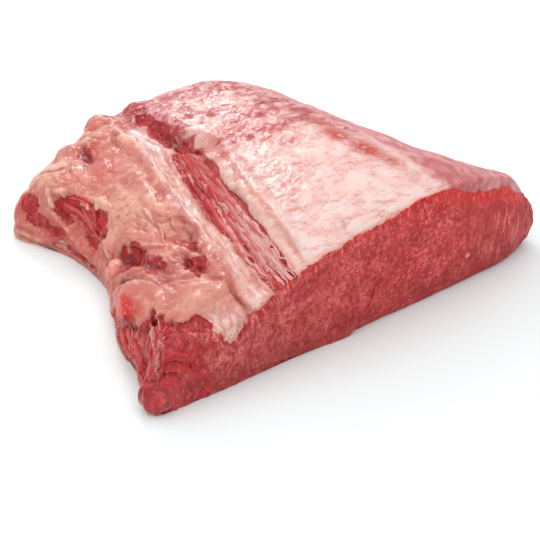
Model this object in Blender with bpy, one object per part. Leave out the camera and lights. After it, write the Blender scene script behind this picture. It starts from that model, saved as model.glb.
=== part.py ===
"""Raw beef brisket, cut square across the grain at the front and torn at the left end.

The joint is one piece of meat, so it is one solid. Its skin is a grid of three zones that
share their edges: the top, stretched over the four sides of the rim; the wall, which carries
a rounded profile from the rim down to the foot; and the flat underside it lies on. The skin
is relaxed like soft flesh, and then lobes, hollows, furrows and ridges push it in and out.

+X runs along the cut face, +Y into the meat along its grain, +Z up. The origin is the
centre of the joint's box, on the surface it lies on.
"""

import bpy
import numpy as np

# Driving dimensions of the whole joint, in metres.
LENGTH = 0.334
WIDTH = 0.308
HEIGHT = 0.088

# How finely the skin is divided. The rim has 2 * (COLUMNS + ROWS) points.
COLUMNS = 52
ROWS = 47
SHOULDER_RINGS = 5
BELLY_RINGS = 3
UNDERSIDE_RINGS = 2
# How much closer the columns lie at the torn end than at the smooth one.
LEFT_CROWDING = 0.2

# The outline, anticlockwise from the near left corner. Each station gives the widest point of
# the wall and then the rim above it as shares of LENGTH and WIDTH, the rim's height as a share
# of HEIGHT, how far in the foot lies from the widest line, in metres, the share of the rim's
# height at which the wall is widest, and how much the shoulder already slopes at the rim: 1 is
# level, as on a round edge, and 2 is the slope of a parabola.
STATIONS = (
    # cut face, left to right
    (0.014, 0.028, 0.098, 0.062, 0.52, 0.003, 0.25, 1.0),
    (0.105, 0.010, 0.142, 0.034, 0.51, 0.004, 0.35, 1.0),
    (0.200, 0.006, 0.209, 0.016, 0.55, 0.004, 0.45, 1.0),
    (0.309, 0.003, 0.311, 0.013, 0.70, 0.004, 0.45, 1.0),
    (0.423, 0.003, 0.423, 0.013, 0.81, 0.004, 0.45, 1.0),
    (0.542, 0.003, 0.542, 0.013, 0.88, 0.005, 0.45, 1.0),
    (0.671, 0.003, 0.671, 0.015, 0.92, 0.005, 0.45, 1.0),
    (0.791, 0.002, 0.788, 0.020, 0.87, 0.006, 0.45, 1.0),
    (0.900, 0.010, 0.884, 0.040, 0.74, 0.007, 0.45, 1.3),
    # right side, front to back
    (0.987, 0.052, 0.918, 0.100, 0.61, 0.012, 0.42, 1.8),
    (0.983, 0.155, 0.866, 0.170, 0.66, 0.012, 0.36, 2.0),
    (0.955, 0.288, 0.820, 0.278, 0.67, 0.012, 0.34, 2.0),
    (0.932, 0.430, 0.792, 0.418, 0.67, 0.012, 0.34, 2.0),
    (0.911, 0.590, 0.772, 0.568, 0.67, 0.012, 0.34, 2.0),
    (0.884, 0.740, 0.752, 0.694, 0.69, 0.012, 0.34, 2.0),
    # back, right to left
    (0.824, 0.868, 0.720, 0.780, 0.72, 0.014, 0.35, 1.8),
    (0.708, 0.950, 0.652, 0.844, 0.74, 0.012, 0.36, 1.7),
    (0.589, 0.965, 0.567, 0.876, 0.70, 0.012, 0.36, 1.6),
    (0.483, 0.994, 0.481, 0.896, 0.61, 0.010, 0.36, 1.5),
    (0.378, 0.965, 0.395, 0.892, 0.60, 0.010, 0.35, 1.4),
    (0.284, 0.905, 0.302, 0.845, 0.56, 0.008, 0.30, 1.2),
    (0.182, 0.868, 0.208, 0.800, 0.49, 0.006, 0.25, 1.1),
    # torn left end, back to front
    (0.090, 0.790, 0.142, 0.744, 0.42, 0.002, 0.15, 1.0),
    (0.110, 0.718, 0.172, 0.692, 0.49, 0.001, 0.12, 1.0),
    (0.138, 0.622, 0.209, 0.612, 0.52, 0.002, 0.12, 1.0),
    (0.144, 0.525, 0.213, 0.525, 0.54, 0.002, 0.14, 1.0),
    (0.132, 0.430, 0.195, 0.430, 0.53, 0.002, 0.16, 1.0),
    (0.084, 0.324, 0.150, 0.330, 0.51, 0.004, 0.24, 1.0),
    (0.048, 0.228, 0.112, 0.230, 0.52, 0.004, 0.30, 1.0),
    (0.030, 0.125, 0.098, 0.138, 0.52, 0.004, 0.28, 1.0),
)
CORNERS = (0, 9, 15, 22)

# How high the top rises above a sheet stretched across the rim.
CROWN_RISE = 0.013
# How often, and how far, each point of the skin moves towards the middle of its neighbours.
RELAXING_ROUNDS = 8
RELAXING_SHARE = 0.5
# The cut edge is crisp: within this distance of the cut face, in metres, points move less.
CRISP_REACH = 0.030
CRISP_FREEDOM = 0.12

# Lobes stand out and hollows sink in: the centre as shares of LENGTH, WIDTH and HEIGHT, the
# reach along X, Y and Z and the height, in metres.
LOBES = (
    # the heavy lobe of fat over the torn end, the small one beside it and the knob at the foot
    ((0.151, 0.095, 0.54), (0.024, 0.022, 0.024), 0.009),
    ((0.087, 0.228, 0.46), (0.017, 0.018, 0.017), 0.008),
    ((0.016, 0.050, 0.12), (0.020, 0.018, 0.018), 0.008),
    # swellings of the fat on the left
    ((0.249, 0.520, 0.62), (0.030, 0.042, 0.040), 0.005),
    ((0.324, 0.780, 0.62), (0.022, 0.026, 0.030), 0.004),
    ((0.185, 0.735, 0.54), (0.024, 0.028, 0.030), 0.005),
    ((0.114, 0.405, 0.30), (0.014, 0.020, 0.020), 0.005),
    ((0.365, 0.905, 0.58), (0.018, 0.016, 0.018), 0.006),
    ((0.262, 0.840, 0.50), (0.014, 0.014, 0.016), 0.003),
    ((0.165, 0.780, 0.42), (0.014, 0.014, 0.016), 0.003),
)
HOLLOWS = (
    ((0.161, 0.365, 0.42), (0.018, 0.022, 0.020), 0.010),
    ((0.243, 0.300, 0.58), (0.013, 0.026, 0.020), 0.007),
    ((0.133, 0.180, 0.30), (0.014, 0.018, 0.018), 0.006),
    ((0.152, 0.600, 0.30), (0.016, 0.040, 0.016), 0.004),
)

# Furrows and ridges follow curves on the top. Each point gives its place as shares of LENGTH
# and WIDTH, then the half width and the depth there, in metres. A negative depth is a ridge.
FURROWS = (
    # the seam of bare muscle that runs back from the cut face
    (
        (0.269, 0.010, 0.020, 0.000),
        (0.275, 0.090, 0.025, 0.006),
        (0.285, 0.180, 0.026, 0.008),
        (0.319, 0.350, 0.026, 0.008),
        (0.364, 0.500, 0.022, 0.006),
        (0.406, 0.640, 0.014, 0.000),
    ),
    # the fold at the head of the seam
    (
        (0.455, 0.960, 0.010, 0.000),
        (0.396, 0.790, 0.013, 0.007),
        (0.391, 0.670, 0.013, 0.007),
        (0.416, 0.560, 0.013, 0.007),
        (0.440, 0.430, 0.010, 0.000),
    ),
    # the raised lips of fat on both sides of the seam
    (
        (0.209, 0.010, 0.010, 0.000),
        (0.233, 0.160, 0.011, -0.004),
        (0.272, 0.320, 0.011, -0.004),
        (0.315, 0.480, 0.012, -0.004),
        (0.352, 0.620, 0.010, 0.000),
    ),
    (
        (0.339, 0.010, 0.009, 0.000),
        (0.363, 0.130, 0.010, -0.003),
        (0.387, 0.270, 0.010, -0.003),
        (0.430, 0.420, 0.010, -0.002),
        (0.465, 0.520, 0.010, 0.000),
    ),
)
CURVE_STEPS = 6


def smooth_loop(values, where):
    """A closed Catmull-Rom curve through the stations, read at each place in station counts."""
    values = np.asarray(values, float)
    first = np.floor(where).astype(int)
    t = (where - first)[:, None]
    a, b, c, d = (values[(first + k) % len(values)] for k in (-1, 0, 1, 2))
    return 0.5 * (
        2 * b + (c - a) * t + (2 * a - 5 * b + 4 * c - d) * t**2 + (3 * b - a - 3 * c + d) * t**3
    )


def smooth_line(values):
    """An open curve through the points: the closed one's formula between mirrored ends."""
    values = np.asarray(values, float)
    ends = np.vstack([2 * values[:1] - values[1:2], values, 2 * values[-1:] - values[-2:-1]])
    where = 1 + np.arange((len(values) - 1) * CURVE_STEPS + 1) / CURVE_STEPS
    return smooth_loop(ends, where)


def crowded(count, amount):
    """Shares from 0 to 1 that lie closer together near 0 as amount grows towards 1."""
    even = np.linspace(0, 1, count + 1)
    return even - amount * np.sin(np.pi * even) / np.pi


def rim_places():
    """Where each point of the rim lies along the stations, anticlockwise from the near left."""
    along = crowded(COLUMNS, LEFT_CROWDING)
    deep = np.linspace(0, 1, ROWS + 1)
    shares = (along, deep, 1 - along[::-1], deep)
    ends = CORNERS + (len(STATIONS),)
    return np.concatenate(
        [start + share[:-1] * (end - start) for share, start, end in zip(shares, ends, ends[1:])]
    )


def wall_rings():
    """The rim, then the wall's rings down to the foot. Two quarter turns meet upright at the
    widest line: a shoulder that comes down from the rim, leaning as its station says, and a
    quarter ellipse that ends level at the foot."""
    size = np.array([LENGTH, WIDTH, LENGTH, WIDTH, HEIGHT, 1, 1, 1])
    values = smooth_loop(np.array(STATIONS) * size, rim_places())
    widest, rim, top, foot, belly, lean = np.split(values, (2, 4, 5, 6, 7), axis=1)
    inward = (rim - widest) / np.linalg.norm(rim - widest, axis=1)[:, None]
    middle = top * belly
    rings = []
    for turn in np.linspace(0, np.pi / 2, SHOULDER_RINGS + 1):
        flat = widest + (rim - widest) * (1 - np.sin(turn) ** lean)
        rings.append(np.hstack([flat, middle + (top - middle) * np.cos(turn)]))
    for turn in np.linspace(0, np.pi / 2, BELLY_RINGS + 1)[1:]:
        flat = widest + inward * foot * (1 - np.cos(turn))
        rings.append(np.hstack([flat, middle * (1 - np.sin(turn))]))
    return rings


def top_grid(rim):
    """The top: a Coons patch stretched between the rim's four sides, raised by a low crown."""
    turns = np.cumsum((0, COLUMNS, ROWS, COLUMNS, ROWS))
    loop = np.vstack([rim, rim[:1]])
    front, right, back, left = (loop[a : b + 1] for a, b in zip(turns, turns[1:]))
    back, left = back[::-1], left[::-1]
    u = crowded(COLUMNS, LEFT_CROWDING)[None, :, None]
    v = np.linspace(0, 1, ROWS + 1)[:, None, None]
    between = (1 - v) * front[None] + v * back[None] + (1 - u) * left[:, None] + u * right[:, None]
    corners = (
        (1 - u) * (1 - v) * front[0] + u * (1 - v) * front[-1] + (1 - u) * v * back[0] + u * v * back[-1]
    )
    grid = between - corners
    grid[..., 2] += CROWN_RISE * (np.sin(np.pi * u) * np.sin(np.pi * v))[..., 0]
    return grid


def rim_indices():
    """The grid's border, in the order of the rim's points."""
    grid = np.arange((ROWS + 1) * (COLUMNS + 1)).reshape(ROWS + 1, COLUMNS + 1)
    return np.concatenate([grid[0, :-1], grid[:-1, -1], grid[-1, :0:-1], grid[:0:-1, 0]])


def grid_faces():
    """Four-sided faces of the top, facing up."""
    grid = np.arange((ROWS + 1) * (COLUMNS + 1)).reshape(ROWS + 1, COLUMNS + 1)
    corners = (grid[:-1, :-1], grid[:-1, 1:], grid[1:, 1:], grid[1:, :-1])
    return np.stack(corners, axis=-1).reshape(-1, 4)


def ring_faces(upper, lower):
    """Four-sided faces between two rings of indices, facing out."""
    return np.stack([upper, lower, np.roll(lower, -1), np.roll(upper, -1)], axis=1)


def skin():
    """All points and faces of the closed skin, and how freely each point relaxes."""
    rings = wall_rings()
    points = [top_grid(rings[0]).reshape(-1, 3)]
    freedom = [np.ones(len(points[0]))]
    faces = [grid_faces()]
    previous = rim_indices()
    count = len(points[0])
    middle = rings[-1].mean(axis=0)
    inner = np.linspace(1, 0, UNDERSIDE_RINGS + 2)[1:-1]
    for number, ring in enumerate(rings[1:] + [middle + (rings[-1] - middle) * k for k in inner], 1):
        indices = count + np.arange(len(ring))
        points.append(ring)
        freedom.append(np.full(len(ring), max(0, 1 - number / SHOULDER_RINGS)))
        faces.append(ring_faces(previous, indices))
        previous, count = indices, count + len(ring)
    points.append(middle[None])
    freedom.append(np.zeros(1))
    fan = [(previous[k], count, previous[(k + 1) % len(previous)]) for k in range(len(previous))]
    points = np.vstack(points)
    freedom = np.concatenate(freedom) * np.clip(points[:, 1] / CRISP_REACH, CRISP_FREEDOM, 1)
    return points, [tuple(face) for face in np.vstack(faces)] + fan, freedom


def relaxed(points, mesh, freedom):
    """The points after each has moved, again and again, towards the middle of its neighbours."""
    edges = np.empty(len(mesh.edges) * 2, dtype=np.int32)
    mesh.edges.foreach_get("vertices", edges)
    start, end = edges.reshape(-1, 2).T
    neighbours = np.bincount(edges, minlength=len(points))
    for _ in range(RELAXING_ROUNDS):
        total = np.zeros_like(points)
        np.add.at(total, start, points[end])
        np.add.at(total, end, points[start])
        middle = total / neighbours[:, None]
        points = points + (RELAXING_SHARE * freedom)[:, None] * (middle - points)
    return points


def swell(distance):
    """A smooth bump: 1 at distance 0, falling to 0 at distance 1."""
    return np.clip(1 - distance**2, 0, 1) ** 2


def furrow_depth(flat, line):
    """How deep a furrow is at each point of the plan, from the nearest run of its curve."""
    line = smooth_line(np.array(line) * np.array([LENGTH, WIDTH, 1, 1]))
    nearest = np.full(len(flat), np.inf)
    depth = np.zeros(len(flat))
    for start, end in zip(line, line[1:]):
        run = end - start
        share = np.clip(((flat - start[:2]) @ run[:2]) / (run[:2] @ run[:2]), 0, 1)
        here = start + share[:, None] * run
        away = np.linalg.norm(flat - here[:, :2], axis=1)
        closer = away < nearest
        nearest[closer] = away[closer]
        depth[closer] = (here[:, 3] * swell(away / here[:, 2]))[closer]
    return depth


def relief(points, facing_up):
    """How far each point of the skin moves out along its normal."""
    size = np.array([LENGTH, WIDTH, HEIGHT])
    moved = np.zeros(len(points))
    for features, sign in ((LOBES, 1), (HOLLOWS, -1)):
        for centre, reach, height in features:
            offset = (points - np.array(centre) * size) / np.array(reach)
            moved += sign * height * swell(np.linalg.norm(offset, axis=1))
    for line in FURROWS:
        moved -= furrow_depth(points[:, :2], line) * facing_up
    return moved


def pushed(points, mesh):
    """The points moved along the mesh's normals, with nothing below the surface it lies on."""
    mesh.vertices.foreach_set("co", points.ravel())
    mesh.update()
    normals = np.empty(len(points) * 3)
    mesh.vertex_normals.foreach_get("vector", normals)
    normals = normals.reshape(-1, 3)
    moved = relief(points, np.clip(normals[:, 2] * 1.5, 0, 1))
    moved[points[:, 2] <= 1e-9] = 0
    points = points + normals * moved[:, None]
    points[:, 2] = np.maximum(points[:, 2], 0)
    return points


def fitted(points):
    """The points scaled to the joint's driving dimensions and centred over the origin."""
    low, high = points.min(axis=0), points.max(axis=0)
    scaled = (points - low) * np.array([LENGTH, WIDTH, HEIGHT]) / (high - low)
    return scaled - np.array([LENGTH / 2, WIDTH / 2, 0])


def raw_beef():
    """Lean, marbled beef under a pale fat cap: pink-red, damp and a little glossy."""
    material = bpy.data.materials.new("raw_beef")
    material.use_nodes = True
    shader = material.node_tree.nodes["Principled BSDF"]
    shader.inputs["Base Color"].default_value = (0.55, 0.16, 0.14, 1)
    shader.inputs["Roughness"].default_value = 0.35
    shader.inputs["Metallic"].default_value = 0.0
    return material


def main():
    for obj in list(bpy.data.objects):
        bpy.data.objects.remove(obj)
    points, faces, freedom = skin()
    mesh = bpy.data.meshes.new("brisket")
    mesh.from_pydata(points.tolist(), [], [tuple(int(k) for k in face) for face in faces])
    points = relaxed(points, mesh, freedom)
    points = fitted(pushed(points, mesh))
    mesh.vertices.foreach_set("co", points.ravel())
    mesh.update()
    mesh.shade_smooth()
    mesh.materials.append(raw_beef())
    bpy.context.scene.collection.objects.link(bpy.data.objects.new("brisket", mesh))


main()
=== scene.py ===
"""Raw beef brisket: the skin, fat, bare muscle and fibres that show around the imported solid.

Everything is in metres in the solid's own frame: +X along the cut face, +Y into the meat along
its grain, +Z up. The skin repeats the solid's own form at a finer spacing, and the loose fibres,
lobes of fat and membranes are laid on it.
"""

import bpy
import numpy as np
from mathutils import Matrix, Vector
from mathutils.bvhtree import BVHTree


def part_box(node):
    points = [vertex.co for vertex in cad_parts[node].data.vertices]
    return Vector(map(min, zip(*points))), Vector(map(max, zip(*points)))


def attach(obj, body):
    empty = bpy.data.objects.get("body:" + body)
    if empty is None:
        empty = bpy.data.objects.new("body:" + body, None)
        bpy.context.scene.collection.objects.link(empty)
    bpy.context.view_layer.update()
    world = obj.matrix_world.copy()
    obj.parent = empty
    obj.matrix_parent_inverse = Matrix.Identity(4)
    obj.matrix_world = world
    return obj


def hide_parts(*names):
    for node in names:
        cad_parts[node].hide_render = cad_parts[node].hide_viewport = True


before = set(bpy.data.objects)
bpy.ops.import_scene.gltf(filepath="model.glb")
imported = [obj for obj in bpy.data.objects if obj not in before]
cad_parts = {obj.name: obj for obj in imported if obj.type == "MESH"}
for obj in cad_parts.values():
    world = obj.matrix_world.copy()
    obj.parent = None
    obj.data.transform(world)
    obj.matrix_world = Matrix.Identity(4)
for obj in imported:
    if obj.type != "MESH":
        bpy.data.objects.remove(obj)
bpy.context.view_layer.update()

LOW, HIGH = (np.array(corner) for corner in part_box("brisket"))
LENGTH, WIDTH, HEIGHT = HIGH - LOW
SIZE = HIGH - LOW
MM = 0.001

# ---------------------------------------------------------------- the main form

# How finely the skin is divided, and how much closer its columns lie on the left.
COLUMNS = 222
ROWS = 200
SHOULDER_RINGS = 24
BELLY_RINGS = 13
UNDERSIDE_RINGS = 6
LEFT_CROWDING = 0.2
# How high the top rises above a sheet stretched across the rim, in metres.
CROWN_RISE = 0.013
# How often, and how far, each point of the skin moves towards the middle of its neighbours.
RELAXING_ROUNDS = 150
RELAXING_SHARE = 0.5
# The cut edge is crisp: within this distance of the cut face, in metres, points move less.
CRISP_REACH = 0.030
CRISP_FREEDOM = 0.12

# The outline, anticlockwise from the near left corner. Each station gives the widest point of
# the wall and then the rim above it as shares of LENGTH and WIDTH, the rim's height as a share
# of HEIGHT, how far in the foot lies from the widest line, in metres, the share of the rim's
# height at which the wall is widest, and how much the shoulder already slopes at the rim.
STATIONS = (
    # cut face, left to right
    (0.014, 0.028, 0.098, 0.062, 0.52, 0.003, 0.25, 1.0),
    (0.105, 0.010, 0.142, 0.034, 0.51, 0.004, 0.35, 1.0),
    (0.200, 0.006, 0.209, 0.016, 0.55, 0.004, 0.45, 1.0),
    (0.309, 0.003, 0.311, 0.013, 0.70, 0.004, 0.45, 1.0),
    (0.423, 0.003, 0.423, 0.013, 0.81, 0.004, 0.45, 1.0),
    (0.542, 0.003, 0.542, 0.013, 0.88, 0.005, 0.45, 1.0),
    (0.671, 0.003, 0.671, 0.015, 0.92, 0.005, 0.45, 1.0),
    (0.791, 0.002, 0.788, 0.020, 0.87, 0.006, 0.45, 1.0),
    (0.900, 0.010, 0.884, 0.040, 0.74, 0.007, 0.45, 1.3),
    # right side, front to back
    (0.987, 0.052, 0.918, 0.100, 0.61, 0.012, 0.42, 1.8),
    (0.983, 0.155, 0.866, 0.170, 0.66, 0.012, 0.36, 2.0),
    (0.955, 0.288, 0.820, 0.278, 0.67, 0.012, 0.34, 2.0),
    (0.932, 0.430, 0.792, 0.418, 0.67, 0.012, 0.34, 2.0),
    (0.911, 0.590, 0.772, 0.568, 0.67, 0.012, 0.34, 2.0),
    (0.884, 0.740, 0.752, 0.694, 0.69, 0.012, 0.34, 2.0),
    # back, right to left
    (0.824, 0.868, 0.720, 0.780, 0.72, 0.014, 0.35, 1.8),
    (0.708, 0.950, 0.652, 0.844, 0.74, 0.012, 0.36, 1.7),
    (0.589, 0.965, 0.567, 0.876, 0.70, 0.012, 0.36, 1.6),
    (0.483, 0.994, 0.481, 0.896, 0.61, 0.010, 0.36, 1.5),
    (0.378, 0.965, 0.395, 0.892, 0.60, 0.010, 0.35, 1.4),
    (0.284, 0.905, 0.302, 0.845, 0.56, 0.008, 0.30, 1.2),
    (0.182, 0.868, 0.208, 0.800, 0.49, 0.006, 0.25, 1.1),
    # torn left end, back to front
    (0.090, 0.790, 0.142, 0.744, 0.42, 0.002, 0.15, 1.0),
    (0.110, 0.718, 0.172, 0.692, 0.49, 0.001, 0.12, 1.0),
    (0.138, 0.622, 0.209, 0.612, 0.52, 0.002, 0.12, 1.0),
    (0.144, 0.525, 0.213, 0.525, 0.54, 0.002, 0.14, 1.0),
    (0.132, 0.430, 0.195, 0.430, 0.53, 0.002, 0.16, 1.0),
    (0.084, 0.324, 0.150, 0.330, 0.51, 0.004, 0.24, 1.0),
    (0.048, 0.228, 0.112, 0.230, 0.52, 0.004, 0.30, 1.0),
    (0.030, 0.125, 0.098, 0.138, 0.52, 0.004, 0.28, 1.0),
)
CORNERS = (0, 9, 15, 22)

# Lobes stand out and hollows sink in: the centre as shares of the box, the reach along X, Y
# and Z and the height, in metres.
LOBES = (
    # the heavy lobe of fat over the torn end, the small one beside it and the knob at the foot
    ((0.151, 0.095, 0.54), (0.024, 0.022, 0.024), 0.009),
    ((0.087, 0.228, 0.46), (0.017, 0.018, 0.017), 0.008),
    ((0.016, 0.050, 0.12), (0.020, 0.018, 0.018), 0.008),
    # swellings of the fat on the left
    ((0.249, 0.520, 0.62), (0.030, 0.042, 0.040), 0.005),
    ((0.324, 0.780, 0.62), (0.022, 0.026, 0.030), 0.004),
    ((0.185, 0.735, 0.54), (0.024, 0.028, 0.030), 0.005),
    ((0.114, 0.405, 0.30), (0.014, 0.020, 0.020), 0.005),
    ((0.365, 0.905, 0.58), (0.018, 0.016, 0.018), 0.006),
    ((0.262, 0.840, 0.50), (0.014, 0.014, 0.016), 0.003),
    ((0.165, 0.780, 0.42), (0.014, 0.014, 0.016), 0.003),
)
HOLLOWS = (
    ((0.161, 0.365, 0.42), (0.018, 0.022, 0.020), 0.010),
    ((0.243, 0.300, 0.58), (0.013, 0.026, 0.020), 0.007),
    ((0.133, 0.180, 0.30), (0.014, 0.018, 0.018), 0.006),
    ((0.152, 0.600, 0.30), (0.016, 0.040, 0.016), 0.004),
)

# Furrows and ridges follow curves on the top. Each point gives its place as shares of LENGTH
# and WIDTH, then the half width and the depth there, in metres. A negative depth is a ridge.
FURROWS = (
    # the seam of bare muscle that runs back from the cut face
    (
        (0.269, 0.010, 0.020, 0.000),
        (0.275, 0.090, 0.025, 0.006),
        (0.285, 0.180, 0.026, 0.008),
        (0.319, 0.350, 0.026, 0.008),
        (0.364, 0.500, 0.022, 0.006),
        (0.406, 0.640, 0.014, 0.000),
    ),
    # the fold at the head of the seam
    (
        (0.455, 0.960, 0.010, 0.000),
        (0.396, 0.790, 0.013, 0.007),
        (0.391, 0.670, 0.013, 0.007),
        (0.416, 0.560, 0.013, 0.007),
        (0.440, 0.430, 0.010, 0.000),
    ),
    # the raised lips of fat on both sides of the seam
    (
        (0.209, 0.010, 0.010, 0.000),
        (0.233, 0.160, 0.011, -0.004),
        (0.272, 0.320, 0.011, -0.004),
        (0.315, 0.480, 0.012, -0.004),
        (0.352, 0.620, 0.010, 0.000),
    ),
    (
        (0.339, 0.010, 0.009, 0.000),
        (0.363, 0.130, 0.010, -0.003),
        (0.387, 0.270, 0.010, -0.003),
        (0.430, 0.420, 0.010, -0.002),
        (0.465, 0.520, 0.010, 0.000),
    ),
)

# How many runs each stretch of a curve is drawn with, on the main form and on the small ones.
CURVE_STEPS = 6
FINE_STEPS = 3


def smooth_loop(values, where):
    """A closed Catmull-Rom curve through the stations, read at each place in station counts."""
    values = np.asarray(values, float)
    first = np.floor(where).astype(int)
    t = (where - first)[:, None]
    a, b, c, d = (values[(first + k) % len(values)] for k in (-1, 0, 1, 2))
    return 0.5 * (
        2 * b + (c - a) * t + (2 * a - 5 * b + 4 * c - d) * t**2 + (3 * b - a - 3 * c + d) * t**3
    )


def smooth_line(values, steps=CURVE_STEPS):
    """An open curve through the points: the closed one's formula between mirrored ends."""
    values = np.asarray(values, float)
    ends = np.vstack([2 * values[:1] - values[1:2], values, 2 * values[-1:] - values[-2:-1]])
    where = 1 + np.arange((len(values) - 1) * steps + 1) / steps
    return smooth_loop(ends, where)


def crowded(count, amount):
    """Shares from 0 to 1 that lie closer together near 0 as amount grows towards 1."""
    even = np.linspace(0, 1, count + 1)
    return even - amount * np.sin(np.pi * even) / np.pi


def rim_places():
    """Where each point of the rim lies along the stations, anticlockwise from the near left."""
    along = crowded(COLUMNS, LEFT_CROWDING)
    deep = np.linspace(0, 1, ROWS + 1)
    shares = (along, deep, 1 - along[::-1], deep)
    ends = CORNERS + (len(STATIONS),)
    return np.concatenate(
        [start + share[:-1] * (end - start) for share, start, end in zip(shares, ends, ends[1:])]
    )


def wall_rings():
    """The rim, then the wall's rings down to the foot. Two quarter turns meet upright at the
    widest line: a shoulder that comes down from the rim, leaning as its station says, and a
    quarter ellipse that ends level at the foot."""
    size = np.array([LENGTH, WIDTH, LENGTH, WIDTH, HEIGHT, 1, 1, 1])
    values = smooth_loop(np.array(STATIONS) * size, rim_places())
    widest, rim, top, foot, belly, lean = np.split(values, (2, 4, 5, 6, 7), axis=1)
    inward = (rim - widest) / np.linalg.norm(rim - widest, axis=1)[:, None]
    middle = top * belly
    rings = []
    for turn in np.linspace(0, np.pi / 2, SHOULDER_RINGS + 1):
        flat = widest + (rim - widest) * (1 - np.sin(turn) ** lean)
        rings.append(np.hstack([flat, middle + (top - middle) * np.cos(turn)]))
    for turn in np.linspace(0, np.pi / 2, BELLY_RINGS + 1)[1:]:
        flat = widest + inward * foot * (1 - np.cos(turn))
        rings.append(np.hstack([flat, middle * (1 - np.sin(turn))]))
    return rings


def top_grid(rim):
    """The top: a Coons patch stretched between the rim's four sides, raised by a low crown."""
    turns = np.cumsum((0, COLUMNS, ROWS, COLUMNS, ROWS))
    loop = np.vstack([rim, rim[:1]])
    front, right, back, left = (loop[a : b + 1] for a, b in zip(turns, turns[1:]))
    back, left = back[::-1], left[::-1]
    u = crowded(COLUMNS, LEFT_CROWDING)[None, :, None]
    v = np.linspace(0, 1, ROWS + 1)[:, None, None]
    between = (1 - v) * front[None] + v * back[None] + (1 - u) * left[:, None] + u * right[:, None]
    corners = (
        (1 - u) * (1 - v) * front[0] + u * (1 - v) * front[-1] + (1 - u) * v * back[0] + u * v * back[-1]
    )
    grid = between - corners
    grid[..., 2] += CROWN_RISE * (np.sin(np.pi * u) * np.sin(np.pi * v))[..., 0]
    return grid


def rim_indices():
    """The grid's border, in the order of the rim's points."""
    grid = np.arange((ROWS + 1) * (COLUMNS + 1)).reshape(ROWS + 1, COLUMNS + 1)
    return np.concatenate([grid[0, :-1], grid[:-1, -1], grid[-1, :0:-1], grid[:0:-1, 0]])


def grid_faces(rows, columns):
    """Four-sided faces of a grid of rows by columns faces."""
    grid = np.arange((rows + 1) * (columns + 1)).reshape(rows + 1, columns + 1)
    corners = (grid[:-1, :-1], grid[:-1, 1:], grid[1:, 1:], grid[1:, :-1])
    return np.stack(corners, axis=-1).reshape(-1, 4)


def ring_faces(upper, lower):
    """Four-sided faces between two rings of indices, facing out."""
    return np.stack([upper, lower, np.roll(lower, -1), np.roll(upper, -1)], axis=1)


def skin():
    """All points and faces of the closed skin, how freely each point relaxes, and its place:
    along the rim in station counts (-1 on the top) and the length of wall above it, in metres."""
    rings = wall_rings()
    points = [top_grid(rings[0]).reshape(-1, 3)]
    freedom = [np.ones(len(points[0]))]
    along = [np.full(len(points[0]), -1.0)]
    depth = [np.zeros(len(points[0]))]
    faces = [grid_faces(ROWS, COLUMNS)]
    previous, above = rim_indices(), rings[0]
    count = len(points[0])
    middle = rings[-1].mean(axis=0)
    inner = np.linspace(1, 0, UNDERSIDE_RINGS + 2)[1:-1]
    down = np.zeros(len(above))
    for number, ring in enumerate(rings[1:] + [middle + (rings[-1] - middle) * k for k in inner], 1):
        indices = count + np.arange(len(ring))
        down = down + np.linalg.norm(ring - above, axis=1)
        points.append(ring)
        freedom.append(np.full(len(ring), max(0, 1 - number / SHOULDER_RINGS)))
        along.append(rim_places())
        depth.append(down)
        faces.append(ring_faces(previous, indices))
        previous, above, count = indices, ring, count + len(ring)
    points.append(middle[None])
    fan = np.stack([previous, np.full(len(previous), count), np.roll(previous, -1)], axis=1)
    points = np.vstack(points)
    crisp = np.clip(points[:, 1] / CRISP_REACH, CRISP_FREEDOM, 1)
    freedom = np.append(np.concatenate(freedom), 0) * crisp
    along = np.append(np.concatenate(along), 0)
    depth = np.append(np.concatenate(depth), 1)
    return points, faces, fan, freedom, along, depth


def relaxed(points, mesh, freedom):
    """The points after each has moved, again and again, towards the middle of its neighbours."""
    edges = np.empty(len(mesh.edges) * 2, dtype=np.int32)
    mesh.edges.foreach_get("vertices", edges)
    pairs = edges.reshape(-1, 2)
    here = np.concatenate([pairs[:, 0], pairs[:, 1]])
    there = np.concatenate([pairs[:, 1], pairs[:, 0]])
    count = np.bincount(here)
    for _ in range(RELAXING_ROUNDS):
        middle = np.stack([np.bincount(here, points[there, k]) / count for k in range(3)], axis=1)
        points = points + (RELAXING_SHARE * freedom)[:, None] * (middle - points)
    return points


def swell(distance):
    """A smooth bump: 1 at distance 0, falling to 0 at distance 1."""
    return np.clip(1 - distance**2, 0, 1) ** 2


def furrow_depth(flat, line):
    """How deep a furrow is at each point of the plan, from the nearest run of its curve."""
    line = smooth_line(np.array(line) * np.array([LENGTH, WIDTH, 1, 1]))
    nearest = np.full(len(flat), np.inf)
    depth = np.zeros(len(flat))
    for start, end in zip(line, line[1:]):
        run = end - start
        share = np.clip(((flat - start[:2]) @ run[:2]) / (run[:2] @ run[:2]), 0, 1)
        here = start + share[:, None] * run
        away = np.linalg.norm(flat - here[:, :2], axis=1)
        closer = away < nearest
        nearest[closer] = away[closer]
        depth[closer] = (here[:, 3] * swell(away / here[:, 2]))[closer]
    return depth


def relief(points, facing_up):
    """How far each point of the skin moves out along its normal."""
    moved = np.zeros(len(points))
    for features, sign in ((LOBES, 1), (HOLLOWS, -1)):
        for centre, reach, height in features:
            offset = (points - np.array(centre) * SIZE) / np.array(reach)
            moved += sign * height * swell(np.linalg.norm(offset, axis=1))
    for line in FURROWS:
        moved -= furrow_depth(points[:, :2], line) * facing_up
    return moved


def normals_of(mesh, points):
    """The mesh's normals once its points are where they are given."""
    mesh.vertices.foreach_set("co", points.ravel())
    mesh.update()
    normals = np.empty(len(points) * 3)
    mesh.vertex_normals.foreach_get("vector", normals)
    return normals.reshape(-1, 3)


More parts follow.
